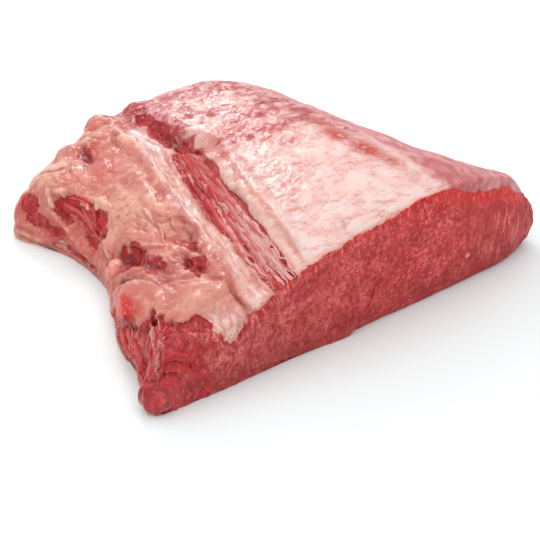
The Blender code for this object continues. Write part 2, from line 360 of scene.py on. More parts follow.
def pushed(points, normals, moved):
    """The points moved along their normals, with the foot left where it rests."""
    moved = np.where(points[:, 2] <= 1e-9, 0, moved)
    points = points + normals * moved[:, None]
    points[:, 2] = np.maximum(points[:, 2], 0)
    return points


def fitted(points):
    """The points scaled to the solid's box."""
    low, high = points.min(axis=0), points.max(axis=0)
    return LOW + (points - low) * SIZE / (high - low)


# ---------------------------------------------------------------- noise

LATTICE = 32


def waves(points, size, seed, octaves=1):
    """Smooth noise from -1 to 1: random values on a cubic lattice of the given spacing, joined by
    smooth steps. Each further octave has half the spacing and half the height."""
    total = np.zeros(len(points))
    for octave in range(octaves):
        table = np.random.default_rng(seed + 101 * octave).uniform(-1, 1, (LATTICE,) * 3)
        where = points / (size / 2**octave)
        cell = np.floor(where).astype(int)
        t = where - cell
        t = t * t * (3 - 2 * t)
        for corner in np.ndindex(2, 2, 2):
            share = np.prod(np.where(corner, t, 1 - t), axis=1)
            total += share * table[tuple(((cell + corner) % LATTICE).T)] / 2**octave
    return total


def pebbles(points, size, seed):
    """How far each point is from the nearest and the second nearest of a set of seeds, one to a
    cube of the given size, as shares of that size."""
    jitter = np.random.default_rng(seed).uniform(0, 1, (LATTICE, LATTICE, LATTICE, 3))
    where = points / size
    cell = np.floor(where).astype(int)
    first = np.full(len(points), 9.0)
    second = np.full(len(points), 9.0)
    for step in np.ndindex(3, 3, 3):
        near = cell + np.array(step) - 1
        seeds = near + jitter[tuple((near % LATTICE).T)]
        away = np.linalg.norm(where - seeds, axis=1)
        second = np.minimum(second, np.maximum(first, away))
        first = np.minimum(first, away)
    return first, second


def ridges(points, size, seed):
    """Thin winding ridges, from 0 to 1: where smooth noise passes through zero."""
    return np.clip(1 - 3 * np.abs(waves(points, size, seed)), 0, 1)


def ramp(values, start, end):
    """A smooth step from 0 at start to 1 at end."""
    t = np.clip((values - start) / (end - start), 0, 1)
    return t * t * (3 - 2 * t)


# ---------------------------------------------------------------- zones of the skin

# Lines on the plan that part one kind of surface from another, as shares of LENGTH and WIDTH:
# both sides of the seam, the back of the cap, the fold behind the seam and the crest of its lip.
SEAM_LEFT = (
    (0.268, -0.050), (0.277, 0.030), (0.286, 0.079), (0.296, 0.140), (0.303, 0.211),
    (0.312, 0.291), (0.332, 0.381), (0.356, 0.481), (0.378, 0.560), (0.400, 0.640),
)
SEAM_RIGHT = (
    (0.324, -0.050), (0.331, 0.030), (0.340, 0.081), (0.352, 0.153), (0.364, 0.230),
    (0.378, 0.302), (0.394, 0.374), (0.411, 0.441), (0.424, 0.520), (0.430, 0.600),
)
CAP_BACK = (
    (0.380, 0.700), (0.412, 0.490), (0.460, 0.430), (0.530, 0.430), (0.600, 0.410),
    (0.655, 0.370), (0.700, 0.260), (0.712, 0.180), (0.710, 0.100), (0.690, 0.000),
    (0.690, -0.100),
)
FOLD_LINE = (
    (0.405, 0.450), (0.400, 0.560), (0.405, 0.670), (0.415, 0.790), (0.455, 0.960),
    (0.480, 1.050),
)
LIP_CREST = (
    (0.225, -0.020), (0.262, 0.080), (0.278, 0.180), (0.300, 0.340), (0.328, 0.480),
    (0.365, 0.620), (0.400, 0.760),
)

# Places across or along the whole piece where a zone gives way to the next, each as a pair of
# shares between which it fades: of WIDTH for the first four, and of LENGTH for the last two.
SEAM_RUNS_OUT = (0.60, 0.53)
RIM_RUNS_OUT = (0.50, 0.40)
LIP_ENDS = (0.60, 0.70)
BACK_STARTS = (0.84, 0.93)
BACK_CORNER = (0.45, 0.60)
LEFT_WALL_ENDS = (0.30, 0.26)
# The mauve right side starts here, as a share of LENGTH.
MAUVE_STARTS = 0.700

# The cut face: how far it reaches to the left and right as shares of LENGTH, and how far it and
# its edge turn back round the corners as shares of WIDTH. At the right it ends on a slant.
FACE_LEFT, FACE_RIGHT = 0.118, 0.962
FACE_BACK, EDGE_BACK = 0.075, 0.085
SLANT, SLANT_BACK = 0.4, 0.05

# The rind of fat on the cut face, in millimetres: swellings, each with its centre and its reach
# as shares of LENGTH, and steps between two shares of LENGTH.
RIND_SWELLINGS = ((0.184, 0.052, 13), (0.245, 0.050, 3.5), (0.480, 0.240, 1.3))
RIND_STEPS = ((0.680, 0.765, 9), (0.850, 0.900, 4))

# The fields that the material reads from the skin.
ZONE_NAMES = (
    "inside", "edge", "mauve", "left", "mottled", "lip", "rim_band", "rim_groove", "bare",
    "warm", "blush_and_foot_shade", "creamy_and_highlight", "smear", "wet", "crease", "height",
)

# Where a small knot of pale fat lies in the cut face.
FAT_KNOT = tuple((LOW + np.array((0.759, 0.002, 0.276)) * SIZE).tolist())

# Patches: centre as shares of the box, reach in metres along X, Y and Z, strength. First come
# the places where muscle lies bare.
BARE_PATCHES = (
    # the torn patch on the left wall and what runs down from it
    ((0.176, 0.655, 0.38), (0.014, 0.014, 0.012), 1.2),
    ((0.180, 0.590, 0.40), (0.015, 0.014, 0.011), 1.2),
    ((0.170, 0.550, 0.31), (0.011, 0.015, 0.009), 1.1),
    ((0.189, 0.540, 0.46), (0.009, 0.012, 0.009), 1.2),
    ((0.180, 0.512, 0.40), (0.008, 0.010, 0.009), 1.0),
    # left end of the wall and the dark line along its foot
    ((0.130, 0.755, 0.33), (0.010, 0.012, 0.009), 1.2),
    ((0.128, 0.722, 0.24), (0.009, 0.014, 0.007), 1.1),
    ((0.146, 0.672, 0.19), (0.008, 0.018, 0.005), 1.0),
    ((0.150, 0.600, 0.08), (0.008, 0.040, 0.005), 0.9),
    # the two dark pockets beside the lip
    ((0.163, 0.360, 0.44), (0.013, 0.017, 0.012), 1.2),
    ((0.167, 0.270, 0.57), (0.009, 0.012, 0.010), 1.0),
    ((0.169, 0.312, 0.50), (0.008, 0.010, 0.009), 1.1),
    ((0.172, 0.402, 0.39), (0.007, 0.009, 0.008), 0.9),
    ((0.247, 0.280, 0.64), (0.005, 0.014, 0.010), 1.1),
    ((0.216, 0.195, 0.64), (0.008, 0.012, 0.010), 1.1),
    # below the small lobe and the whole torn end
    ((0.100, 0.300, 0.10), (0.012, 0.014, 0.008), 0.9),
    ((0.050, 0.180, 0.20), (0.026, 0.026, 0.020), 1.8),
    ((0.060, 0.070, 0.44), (0.014, 0.016, 0.012), 1.6),
    ((0.075, 0.110, 0.40), (0.018, 0.016, 0.014), 1.2),
    ((0.060, 0.060, 0.36), (0.020, 0.020, 0.014), 1.2),
    ((0.030, 0.040, 0.20), (0.026, 0.020, 0.024), 1.4),
    ((0.100, 0.010, 0.26), (0.026, 0.016, 0.028), 1.4),
    ((0.120, 0.038, 0.53), (0.012, 0.010, 0.010), 1.5),
    ((0.091, 0.062, 0.52), (0.008, 0.008, 0.007), 1.5),
    ((0.056, 0.204, 0.23), (0.012, 0.014, 0.012), 1.6),
    ((0.045, 0.110, 0.25), (0.012, 0.012, 0.012), 1.6),
    ((0.083, 0.276, 0.18), (0.010, 0.012, 0.008), 1.4),
    # the fold behind the seam and the bare bump at the back
    ((0.424, 0.690, 0.74), (0.006, 0.022, 0.014), 1.2),
    ((0.416, 0.590, 0.75), (0.006, 0.014, 0.014), 1.0),
    ((0.458, 0.850, 0.70), (0.010, 0.016, 0.012), 0.8),
    ((0.432, 0.765, 0.70), (0.005, 0.020, 0.014), 1.1),
    ((0.422, 0.540, 0.76), (0.005, 0.014, 0.014), 0.9),
    # the glossy cavity under the nodules
    ((0.276, 0.772, 0.60), (0.006, 0.008, 0.008), 1.0),
)
# Orange-red spots on the small lobe and the knob.
WARM_PATCHES = (
    ((0.082, 0.264, 0.372), (0.010, 0.012, 0.010), 1.7),
    ((0.070, 0.219, 0.455), (0.007, 0.007, 0.006), 1.6),
    ((0.069, 0.204, 0.420), (0.005, 0.005, 0.005), 0.9),
    ((0.092, 0.014, 0.335), (0.010, 0.010, 0.006), 0.6),
)
# Red smears and streaks on the cap and the back.
SMEARS = (
    ((0.648, 0.320, 0.97), (0.010, 0.017, 0.020), 1.2),
    ((0.656, 0.225, 0.97), (0.011, 0.020, 0.020), 1.2),
    ((0.664, 0.160, 0.97), (0.008, 0.013, 0.020), 0.9),
    ((0.668, 0.410, 0.95), (0.008, 0.020, 0.020), 1.2),
    ((0.500, 0.510, 0.90), (0.030, 0.012, 0.030), 0.7),
    ((0.610, 0.540, 0.93), (0.018, 0.020, 0.030), 0.5),
    ((0.549, 0.467, 0.94), (0.009, 0.006, 0.020), 1.0),
    ((0.575, 0.434, 0.96), (0.009, 0.006, 0.020), 1.0),
    ((0.536, 0.410, 0.95), (0.008, 0.005, 0.020), 0.8),
    ((0.555, 0.366, 0.97), (0.008, 0.005, 0.020), 0.8),
    ((0.430, 0.425, 0.91), (0.007, 0.008, 0.020), 0.9),
)
# Films of juice, where the surface shines.
WET_PATCHES = (
    ((0.430, 0.300, 0.84), (0.034, 0.060, 0.030), 1.0),
    ((0.520, 0.400, 0.92), (0.040, 0.034, 0.030), 0.8),
    ((0.600, 0.730, 0.84), (0.022, 0.030, 0.030), 0.9),
    ((0.640, 0.590, 0.93), (0.016, 0.026, 0.030), 0.7),
    ((0.600, 0.500, 0.93), (0.036, 0.026, 0.030), 0.9),
    ((0.480, 0.640, 0.85), (0.026, 0.040, 0.030), 0.8),
    ((0.195, 0.020, 0.52), (0.014, 0.014, 0.014), 1.0),
    ((0.040, 0.040, 0.16), (0.024, 0.020, 0.024), 1.5),
    ((0.080, 0.016, 0.32), (0.014, 0.012, 0.012), 1.3),
    ((0.070, 0.120, 0.35), (0.024, 0.030, 0.024), 1.1),
    ((0.285, 0.785, 0.60), (0.020, 0.022, 0.020), 1.2),
    ((0.235, 0.420, 0.62), (0.020, 0.030, 0.020), 0.9),
    ((0.390, 0.870, 0.66), (0.040, 0.020, 0.030), 0.7),
)
# Smooth stretches of the fat on the left, and knobbly ones.
QUIET_PATCHES = (
    ((0.240, 0.560, 0.66), (0.030, 0.034, 0.030), 1.4),
    ((0.095, 0.230, 0.48), (0.020, 0.020, 0.020), 0.7),
    ((0.175, 0.100, 0.56), (0.028, 0.022, 0.022), 1.6),
    ((0.200, 0.300, 0.60), (0.010, 0.014, 0.010), 1.0),
)
NODULE_PATCHES = (
    ((0.285, 0.785, 0.60), (0.016, 0.018, 0.018), 2.0),
    ((0.215, 0.420, 0.58), (0.016, 0.022, 0.014), 1.0),
)
# Creamier stretches of the fat on the left, and on the back pale blotches that are painted
# highlights.
CREAMY_AND_HIGHLIGHT_PATCHES = (
    ((0.205, 0.775, 0.53), (0.022, 0.028, 0.018), 0.9),
    ((0.195, 0.560, 0.52), (0.010, 0.022, 0.012), 1.0),
    ((0.225, 0.490, 0.60), (0.016, 0.020, 0.014), 0.8),
    ((0.275, 0.300, 0.68), (0.012, 0.030, 0.012), 0.7),
    ((0.165, 0.090, 0.62), (0.018, 0.014, 0.012), 0.5),
    ((0.235, 0.370, 0.61), (0.012, 0.022, 0.010), 0.8),
    # pale blotches of the back: painted highlights
    ((0.610, 0.637, 0.90), (0.015, 0.014, 0.020), 1.0),
    ((0.601, 0.502, 0.95), (0.018, 0.011, 0.020), 1.0),
    ((0.536, 0.780, 0.79), (0.014, 0.011, 0.016), 1.0),
    ((0.457, 0.565, 0.86), (0.009, 0.016, 0.016), 1.0),
    ((0.560, 0.700, 0.84), (0.012, 0.009, 0.016), 0.8),
    ((0.640, 0.560, 0.93), (0.012, 0.014, 0.016), 0.8),
)
# Redder stretches of the fat; along the foot of the left wall the redness is partly painted shade.
BLUSHES_AND_FOOT_SHADE = (
    ((0.076, 0.205, 0.455), (0.015, 0.014, 0.011), 1.1),
    ((0.262, 0.660, 0.61), (0.014, 0.018, 0.012), 0.7),
    ((0.205, 0.330, 0.60), (0.016, 0.016, 0.014), 0.4),
    ((0.280, 0.760, 0.61), (0.012, 0.016, 0.012), 1.0),
    # this one and the long one two lines down lie along the foot of the left wall: partly painted shade
    ((0.128, 0.400, 0.22), (0.020, 0.040, 0.016), 0.9),
    ((0.240, 0.350, 0.64), (0.014, 0.024, 0.012), 0.2),
    ((0.150, 0.640, 0.16), (0.018, 0.070, 0.016), 1.0),
    ((0.118, 0.780, 0.30), (0.012, 0.020, 0.022), 0.9),
    ((0.210, 0.690, 0.57), (0.010, 0.014, 0.010), 0.6),
    ((0.455, 0.800, 0.78), (0.022, 0.030, 0.030), 1.1),
    ((0.436, 0.610, 0.78), (0.008, 0.024, 0.024), 1.0),
    ((0.560, 0.800, 0.80), (0.040, 0.026, 0.030), 0.8),
    ((0.640, 0.560, 0.90), (0.020, 0.040, 0.030), 0.6),
    ((0.470, 0.840, 0.72), (0.024, 0.022, 0.020), 1.5),
    ((0.447, 0.730, 0.78), (0.012, 0.022, 0.018), 1.2),
)
# The wet lower end of the seam's lip.
LIP_FOOT = (((0.174, 0.022, 0.51), (0.016, 0.014, 0.013), 1.4),)

# Creases of the fat and of the torn end, and its ridges, which have a negative depth: points as
# shares of the box, then half the width and the depth in millimetres.
CREASES = (
    # ridges beside and under the bare patch on the left wall, and the creases below them
    ((0.150, 0.700, 0.36, 2.5, -1.0), (0.154, 0.670, 0.29, 3.5, -2.6), (0.161, 0.627, 0.23, 3.5, -2.8),
     (0.162, 0.585, 0.18, 3.5, -2.4), (0.159, 0.520, 0.17, 3.0, 0.0)),
    ((0.139, 0.687, 0.21, 3.0, 1.0), (0.146, 0.655, 0.14, 4.0, 2.8), (0.152, 0.624, 0.10, 4.0, 2.8),
     (0.156, 0.570, 0.08, 3.5, 2.0)),
    ((0.100, 0.775, 0.11, 3.0, -1.0), (0.112, 0.742, 0.08, 4.0, -3.0), (0.128, 0.702, 0.09, 4.0, -2.8),
     (0.142, 0.664, 0.135, 3.5, -1.0)),
    # the overhanging edge of the fat above the patch
    ((0.158, 0.705, 0.48, 3.5, -1.5), (0.180, 0.670, 0.52, 4.0, -2.6), (0.200, 0.610, 0.54, 4.0, -2.6),
     (0.212, 0.545, 0.55, 4.0, -2.2), (0.202, 0.480, 0.50, 3.5, -1.5)),
    # far left
    ((0.160, 0.735, 0.46, 3.0, 1.0), (0.142, 0.735, 0.38, 3.5, 3.0), (0.128, 0.738, 0.28, 3.5, 2.6),
     (0.118, 0.738, 0.19, 3.0, 1.5)),
    ((0.240, 0.800, 0.56, 2.5, 1.0), (0.222, 0.740, 0.58, 3.0, 2.0), (0.205, 0.700, 0.56, 3.0, 1.6)),
    # round the small lobe and down the gap between the two lobes
    ((0.112, 0.350, 0.28, 3.5, 2.0), (0.117, 0.320, 0.42, 4.5, 4.0), (0.124, 0.270, 0.52, 4.5, 3.2),
     (0.136, 0.215, 0.56, 4.0, 1.5), (0.140, 0.185, 0.56, 3.0, 0.3)),
    ((0.120, 0.178, 0.55, 3.0, 0.2), (0.106, 0.165, 0.52, 3.5, 1.5), (0.091, 0.151, 0.50, 4.0, 5.0),
     (0.077, 0.136, 0.463, 4.5, 6.0), (0.062, 0.140, 0.36, 4.0, 2.0)),
    # under the small lobe and under the big one
    ((0.092, 0.310, 0.14, 3.5, 2.0), (0.061, 0.230, 0.28, 4.0, 4.0), (0.063, 0.163, 0.38, 4.0, 4.0)),
    ((0.082, 0.140, 0.47, 3.5, 4.0), (0.092, 0.098, 0.49, 4.0, 5.0), (0.108, 0.064, 0.50, 4.0, 4.5),
     (0.132, 0.038, 0.49, 3.5, 3.0), (0.158, 0.022, 0.46, 3.0, 1.0)),
    # beside the big lobe
    ((0.232, 0.110, 0.64, 2.5, 1.0), (0.226, 0.077, 0.63, 3.0, 3.0), (0.220, 0.040, 0.60, 3.0, 3.2),
     (0.219, 0.012, 0.55, 3.0, 2.5), (0.222, 0.006, 0.47, 2.5, 0.5)),
    ((0.150, 0.200, 0.56, 2.5, 1.0), (0.175, 0.185, 0.59, 2.5, 1.5), (0.204, 0.157, 0.62, 2.5, 1.5),
     (0.222, 0.115, 0.64, 2.5, 1.5)),
    # pockets beside the lip
    ((0.158, 0.440, 0.36, 5.0, 1.0), (0.165, 0.395, 0.415, 8.0, 4.5), (0.168, 0.350, 0.45, 8.5, 5.0),
     (0.166, 0.300, 0.54, 7.0, 4.5), (0.170, 0.262, 0.58, 5.5, 4.0), (0.168, 0.220, 0.58, 4.0, 1.5)),
    ((0.265, 0.330, 0.63, 2.5, 1.0), (0.252, 0.290, 0.64, 4.0, 4.0), (0.243, 0.250, 0.66, 4.0, 4.5),
     (0.232, 0.190, 0.67, 3.0, 1.5)),
    ((0.216, 0.245, 0.63, 3.0, 1.0), (0.214, 0.225, 0.634, 4.5, 4.5), (0.213, 0.190, 0.635, 4.5, 5.0),
     (0.216, 0.155, 0.64, 3.5, 1.5)),
    # wrinkles of the lip's lower end
    ((0.262, 0.230, 0.67, 2.0, 0.3), (0.268, 0.150, 0.66, 2.5, 1.4), (0.262, 0.090, 0.635, 2.5, 1.6),
     (0.256, 0.030, 0.61, 2.0, 0.6)),
    ((0.288, 0.230, 0.68, 2.0, 0.3), (0.283, 0.150, 0.66, 2.2, 1.2), (0.274, 0.080, 0.64, 2.2, 1.4),
     (0.268, 0.020, 0.62, 2.0, 0.5)),
    # the fold at the seam's head
    ((0.476, 0.880, 0.70, 3.5, 0.5), (0.446, 0.805, 0.72, 4.5, 2.4), (0.424, 0.720, 0.748, 5.0, 2.8),
     (0.419, 0.650, 0.748, 5.0, 2.8), (0.414, 0.575, 0.75, 4.5, 1.5)),
    # between the lip and the plate of fat
    ((0.396, 0.760, 0.66, 2.5, 0.5), (0.360, 0.640, 0.75, 3.0, 2.0), (0.341, 0.530, 0.76, 3.0, 2.0),
     (0.318, 0.426, 0.73, 3.0, 1.5), (0.300, 0.350, 0.70, 2.5, 0.0)),
    ((0.272, 0.610, 0.66, 8.0, 0.5), (0.264, 0.555, 0.68, 11.0, 2.4), (0.256, 0.483, 0.68, 8.0, 0.5)),
    ((0.300, 0.700, 0.66, 3.0, 0.5), (0.278, 0.650, 0.65, 3.5, 2.2), (0.250, 0.640, 0.62, 3.0, 1.0)),
    # the glossy cavity under the nodules
    ((0.290, 0.815, 0.57, 4.0, 2.0), (0.275, 0.770, 0.605, 6.0, 5.0), (0.268, 0.721, 0.613, 4.5, 3.0)),
    # folds over the knob
    ((0.040, 0.035, 0.37, 2.5, 1.5), (0.066, 0.024, 0.385, 3.0, 2.4), (0.092, 0.014, 0.330, 3.0, 2.2),
     (0.113, 0.010, 0.24, 2.5, 1.0)),
    ((0.008, 0.080, 0.22, 2.5, 1.0), (0.022, 0.037, 0.265, 3.0, 3.0), (0.046, 0.024, 0.31, 3.0, 3.0),
     (0.074, 0.013, 0.27, 2.5, 2.0), (0.090, 0.010, 0.16, 2.5, 0.8)),
    # the fold that runs down the cut face
    ((0.520, 0.000, 0.44, 2.2, 0.3), (0.503, 0.000, 0.28, 2.4, 1.8), (0.487, 0.000, 0.18, 2.8, 2.4),
     (0.469, 0.000, 0.07, 3.2, 2.4)),
    # the bare bump at the back
    ((0.385, 0.935, 0.58, 7.0, -1.0), (0.430, 0.940, 0.61, 9.0, -5.0), (0.470, 0.915, 0.64, 9.0, -5.0),
     (0.505, 0.880, 0.67, 8.0, -2.0)),
    # bundles that stand out on the torn end
    ((0.085, 0.115, 0.494, 2.0, -1.0), (0.066, 0.072, 0.461, 2.4, -2.4), (0.053, 0.041, 0.414, 2.4, -2.6),
     (0.039, 0.029, 0.328, 2.4, -2.2), (0.022, 0.031, 0.254, 2.0, -0.8)),
    ((0.110, 0.060, 0.48, 2.5, -1.0), (0.098, 0.024, 0.44, 3.5, -2.6), (0.100, 0.012, 0.38, 3.5, -2.6),
     (0.112, 0.008, 0.32, 2.5, -1.0)),
    ((0.060, 0.240, 0.26, 3.0, -1.5), (0.046, 0.180, 0.20, 4.0, -2.6), (0.036, 0.130, 0.16, 4.0, -2.2),
     (0.030, 0.100, 0.08, 3.0, -1.0)),
    # tags of fat beside the pockets, and fingers of fat that hang over the bare patch
    ((0.246, 0.440, 0.64, 2.2, -1.0), (0.241, 0.415, 0.63, 2.8, -3.0), (0.234, 0.385, 0.62, 2.2, -2.0)),
    ((0.238, 0.378, 0.63, 2.0, -1.0), (0.230, 0.345, 0.62, 2.6, -2.8), (0.218, 0.312, 0.61, 2.2, -2.0)),
    ((0.267, 0.385, 0.67, 2.0, -1.0), (0.261, 0.350, 0.64, 2.4, -2.4), (0.254, 0.325, 0.62, 2.0, -1.5)),
    ((0.196, 0.380, 0.51, 2.6, -1.5), (0.198, 0.340, 0.56, 3.0, -2.8), (0.208, 0.300, 0.60, 2.6, -2.0)),
    ((0.172, 0.735, 0.52, 3.0, -1.5), (0.158, 0.705, 0.45, 3.2, -3.6), (0.154, 0.685, 0.38, 2.4, -2.4)),
    ((0.182, 0.700, 0.53, 3.0, -1.5), (0.177, 0.675, 0.48, 2.8, -3.0)),
    ((0.200, 0.610, 0.52, 2.6, -1.0), (0.190, 0.595, 0.46, 2.4, -2.4)),
)


def swayed(points, size, seed):
    """Three noises side by side, from -1 to 1, that carry places to and fro."""
    return np.stack([waves(points, size, seed + k, 2) for k in range(3)], axis=1)


def crease_depth(points):
    """How deep the creases are at each point, in millimetres, from the nearest run of each. A
    little noise carries the lines to and fro, so that no border is drawn with a ruler."""
    points = points + 1.3 * MM * swayed(points, 7 * MM, 91)
    depth = np.zeros(len(points))
    for line in CREASES:
        line = smooth_line(np.array(line) * (*SIZE, MM, 1) + (*LOW, 0, 0), FINE_STEPS)
        reach = line[:, 3].max()
        low, high = line[:, :3].min(axis=0) - reach, line[:, :3].max(axis=0) + reach
        near = np.all((points > low) & (points < high), axis=1)
        spots = points[near]
        nearest = np.full(len(spots), np.inf)
        here_depth = np.zeros(len(spots))
        for start, end in zip(line, line[1:]):
            run = (end - start)[:3]
            share = np.clip(((spots - start[:3]) @ run) / (run @ run), 0, 1)
            here = start + share[:, None] * (end - start)
            away = np.linalg.norm(spots - here[:, :3], axis=1) / here[:, 3]
            closer = away < nearest
            nearest[closer] = away[closer]
            here_depth[closer] = (here[:, 4] * swell(away))[closer]
        depth[near] += here_depth
    return depth


def beside(flat, line):
    """Signed distance from a line on the plan, in metres: positive to the right of its run."""
    line = smooth_line(np.array(line) * (LENGTH, WIDTH), FINE_STEPS)
    nearest = np.full(len(flat), np.inf)
    signed = np.zeros(len(flat))
    for start, end in zip(line, line[1:]):
        run = end - start
        offset = flat - start
        share = np.clip((offset @ run) / (run @ run), 0, 1)
        away = np.linalg.norm(offset - share[:, None] * run, axis=1)
        side = np.sign(offset[:, 0] * run[1] - offset[:, 1] * run[0])
        closer = away < nearest
        nearest[closer] = away[closer]
        signed[closer] = (away * side)[closer]
    return signed


PATCH_FADE = 0.7


def patches(points, spots):
    """The strongest of the patches at each point. Each fades to a quarter at its reach, and is
    gone at 1.4 times that."""
    best = np.zeros(len(points))
    for centre, reach, strength in spots:
        offset = (points - LOW - np.array(centre) * SIZE) / np.array(reach)
        best = np.maximum(best, strength * swell(PATCH_FADE * np.linalg.norm(offset, axis=1)))
    return best


def cut_face(points, below, drift, ragged):
    """How far inside the cut face each point lies, and how far below its ragged edge, in metres.
    The lean ends where the face does or under the rind, whichever comes first."""
    x, y, z = ((points - LOW) / SIZE).T
    back = points[:, 1] - LOW[1]
    right_end = (FACE_RIGHT - x) * LENGTH + SLANT * (SLANT_BACK * WIDTH - back)
    left_end = (x - FACE_LEFT - 0.015 * np.sin(9 * z)) * LENGTH
    inside = np.minimum.reduce([below, right_end, left_end, FACE_BACK * WIDTH - back])
    rind = sum(thick * swell((x - centre) / reach) for centre, reach, thick in RIND_SWELLINGS)
    rind = rind + sum(thick * ramp(x, start, end) for start, end, thick in RIND_STEPS)
    teeth = 1.3 * waves(points * (1, 0, 0), 13 * MM, 14, 3) * ramp(x, 0.30, 0.40)
    rind = (rind * (1 + 0.25 * drift) + teeth) * MM
    tatter = (0.9 + 3.4 * swell((x - 0.178) / 0.08)) * MM * ragged
    return inside - rind + tatter, np.minimum(below - rind, EDGE_BACK * WIDTH - back) + tatter


def zones(points, below, on_wall):
    """What covers the skin at each point, as fields by name: from 0 to 1, or in millimetres.
    Below is how far down the cut face from its edge each point lies, negative off the face."""
    flat = points[:, :2] - LOW[:2]
    x, y, z = ((points - LOW) / SIZE).T
    drift = waves(points, 9 * MM, 11, 2)
    ragged = waves(points, 4.5 * MM, 12, 3)
    broad = waves(points, 30 * MM, 13, 2)
    inside, edge = cut_face(points, below, drift, ragged)
    # the seam between its two lines, and the cap to the right of it
    curl = waves(points * (1, 1, 0.2), 13 * MM, 15, 2) * MM
    right_of_left_lip = beside(flat, SEAM_LEFT) + 0.8 * curl
    right_of_seam = beside(flat, SEAM_RIGHT) + 1.3 * curl
    in_seam = np.minimum(right_of_left_lip, -right_of_seam)
    seam = ramp(in_seam, -1 * MM, 2 * MM) * ramp(y, *SEAM_RUNS_OUT)
    before_back = beside(flat, CAP_BACK)
    cap = ramp(before_back, -10 * MM, 10 * MM) * ramp(right_of_seam, -1 * MM, 1 * MM)
    # the mauve right side, and the same film round the back
    waver = 4 * MM * drift + 7 * MM * broad * ramp(y, 0.25, 0.45)
    mauve = ramp((x - MAUVE_STARTS) * LENGTH + waver, -4 * MM, 6 * MM)
    mauve = np.maximum(mauve, ramp(y + 0.02 * drift, *BACK_STARTS) * ramp(x, *BACK_CORNER))
    # the fat on the left, with its wall, and what is left over at the back
    past_lip = right_of_left_lip - WIDTH * ramp(y, *LIP_ENDS)
    left = ramp(-np.maximum(past_lip, beside(flat, FOLD_LINE)), -3 * MM, 4 * MM)
    left = np.maximum(left, ramp(x, *LEFT_WALL_ENDS) * on_wall)
    mottled = np.clip(1 - cap - mauve - left, 0, 1)
    # the raised lip to the left of the seam, and the band and the groove to its right
    lip = swell(beside(flat, LIP_CREST) / (10 * MM)) * ramp(z, 0.45, 0.6)
    lip = np.maximum(lip, 0.9 * np.clip(patches(points, LIP_FOOT), 0, 1))
    wavering = right_of_seam + 1.2 * MM * drift
    near_seam = ramp(y, *RIM_RUNS_OUT)
    rim_band = swell((wavering - 2.0 * MM) / (3.2 * MM)) * near_seam
    rim_groove = swell((wavering - 6.2 * MM + 1.6 * MM * broad) / (3.4 * MM)) * near_seam
    rim_groove = rim_groove * ramp(y, -0.03, 0.06)
    # bare muscle: torn patches that no ridge of fat covers, the seam and the front of the edge
    crease = crease_depth(points)
    covered = ramp(crease, -0.8, -2.4) * ramp(y, 0.20, 0.30)
    bare = patches(points, BARE_PATCHES) * (1 - covered) + 0.25 * ragged
    bare = np.maximum(bare, np.maximum(seam, ramp(edge, 0, 1 * MM) * ramp(y, 0.10, 0.05)))
    juice = [patches(points, WET_PATCHES), 0.8 * lip, 0.55 * left, 0.6 * mottled]
    return {
        "inside": inside / MM,
        "edge": edge / MM,
        "seam": seam,
        "cap": cap,
        "mauve": mauve,
        "left": left,
        "mottled": mottled,
        "lip": lip,
        "rim_band": rim_band,
        "rim_groove": rim_groove,
        "bare": ramp(bare, 0.42, 0.60),
        "warm": patches(points, WARM_PATCHES),
        "blush_and_foot_shade": patches(points, BLUSHES_AND_FOOT_SHADE),
        "creamy_and_highlight": np.clip(patches(points, CREAMY_AND_HIGHLIGHT_PATCHES), 0, 1),
        "smear": patches(points, SMEARS),
        "wet": np.maximum.reduce(juice),
        "crease": crease,
    }


# The grain of the muscle on the plan: turned 15 degrees clockwise from +Y.
GRAIN_ANGLE = np.radians(-15)
GRAIN_TURN = np.array(
    [
        [np.cos(GRAIN_ANGLE), np.sin(GRAIN_ANGLE), 0],
        [-np.sin(GRAIN_ANGLE), np.cos(GRAIN_ANGLE), 0],
        [0, 0, 1],
    ]
).T


def fat_lumps(wandering, grain, drift):
    """Rounded folds of fat that part along sharp clefts, in millimetres: smooth noise in two
    sizes with its sign dropped, over broader folds that follow the grain."""
    lumps = 2.7 * np.abs(waves(wandering, 17 * MM, 34)) - 1.2
    lumps = lumps + 1.0 * np.abs(waves(wandering, 7.5 * MM, 35))
    return lumps + 0.7 * waves(grain * (1, 0.35, 1) + 3 * MM * drift, 10 * MM, 38, 2)


def fat_nodules(points, wandering):
    """Small round nodules in places, in millimetres: a dome over the nearest seed, and a groove
    where two seeds are equally near."""
    near, far = pebbles(wandering, 6.5 * MM, 37)
    nodules = 0.8 * (np.clip(1 - 1.2 * near**2, 0, 1) - 0.4) - 0.35 * swell((far - near) / 0.25)
    here_and_there = ramp(waves(points, 16 * MM, 36), 0.1, 0.6)
    return nodules * np.maximum(here_and_there, patches(points, NODULE_PATCHES))


def cap_relief(points, drift, wet):
    """The cap's wrinkles, in millimetres: thin winding grooves between low swellings, finer and
    deeper where it is wet. Also the grooves and the swellings by themselves."""
    groove = ridges(points * (1, 1.7, 1) + 2 * MM * drift, 9 * MM, 41)
    groove = groove**2 * ramp(waves(points, 12 * MM, 43), -0.5, 0.3)
    swelling = waves(points * (1, 1.5, 1) + 2 * MM * drift, 5.5 * MM, 42, 2)
    crinkle = waves(points * (1, 1.4, 1) + 2 * MM * drift, 3.8 * MM, 44, 2)
    return 0.16 * swelling - 0.55 * groove + 0.8 * wet * crinkle, groove, swelling


def cut_relief(points, inside):
    """The cut face, in millimetres: gently uneven, combed upright below its edge, and with a
    fold of muscle on the left that stands out near the foot."""
    x, y, z = ((points - LOW) / SIZE).T
    fold = (x - 0.535 + 0.20 * (0.40 - z)) * LENGTH
    step = ramp(fold, 3 * MM, -1 * MM) * ramp(z, 0.42, 0.25) * ramp(fold, -30 * MM, -4 * MM)
    combed = waves(points * (1, 1, 0.25), 2.6 * MM, 83) * ramp(inside, 8, 1)
    uneven = 0.22 * waves(points, 5 * MM, 81, 2) + 0.7 * waves(points, 34 * MM, 82)
    return uneven + 0.40 * combed + 2.1 * step


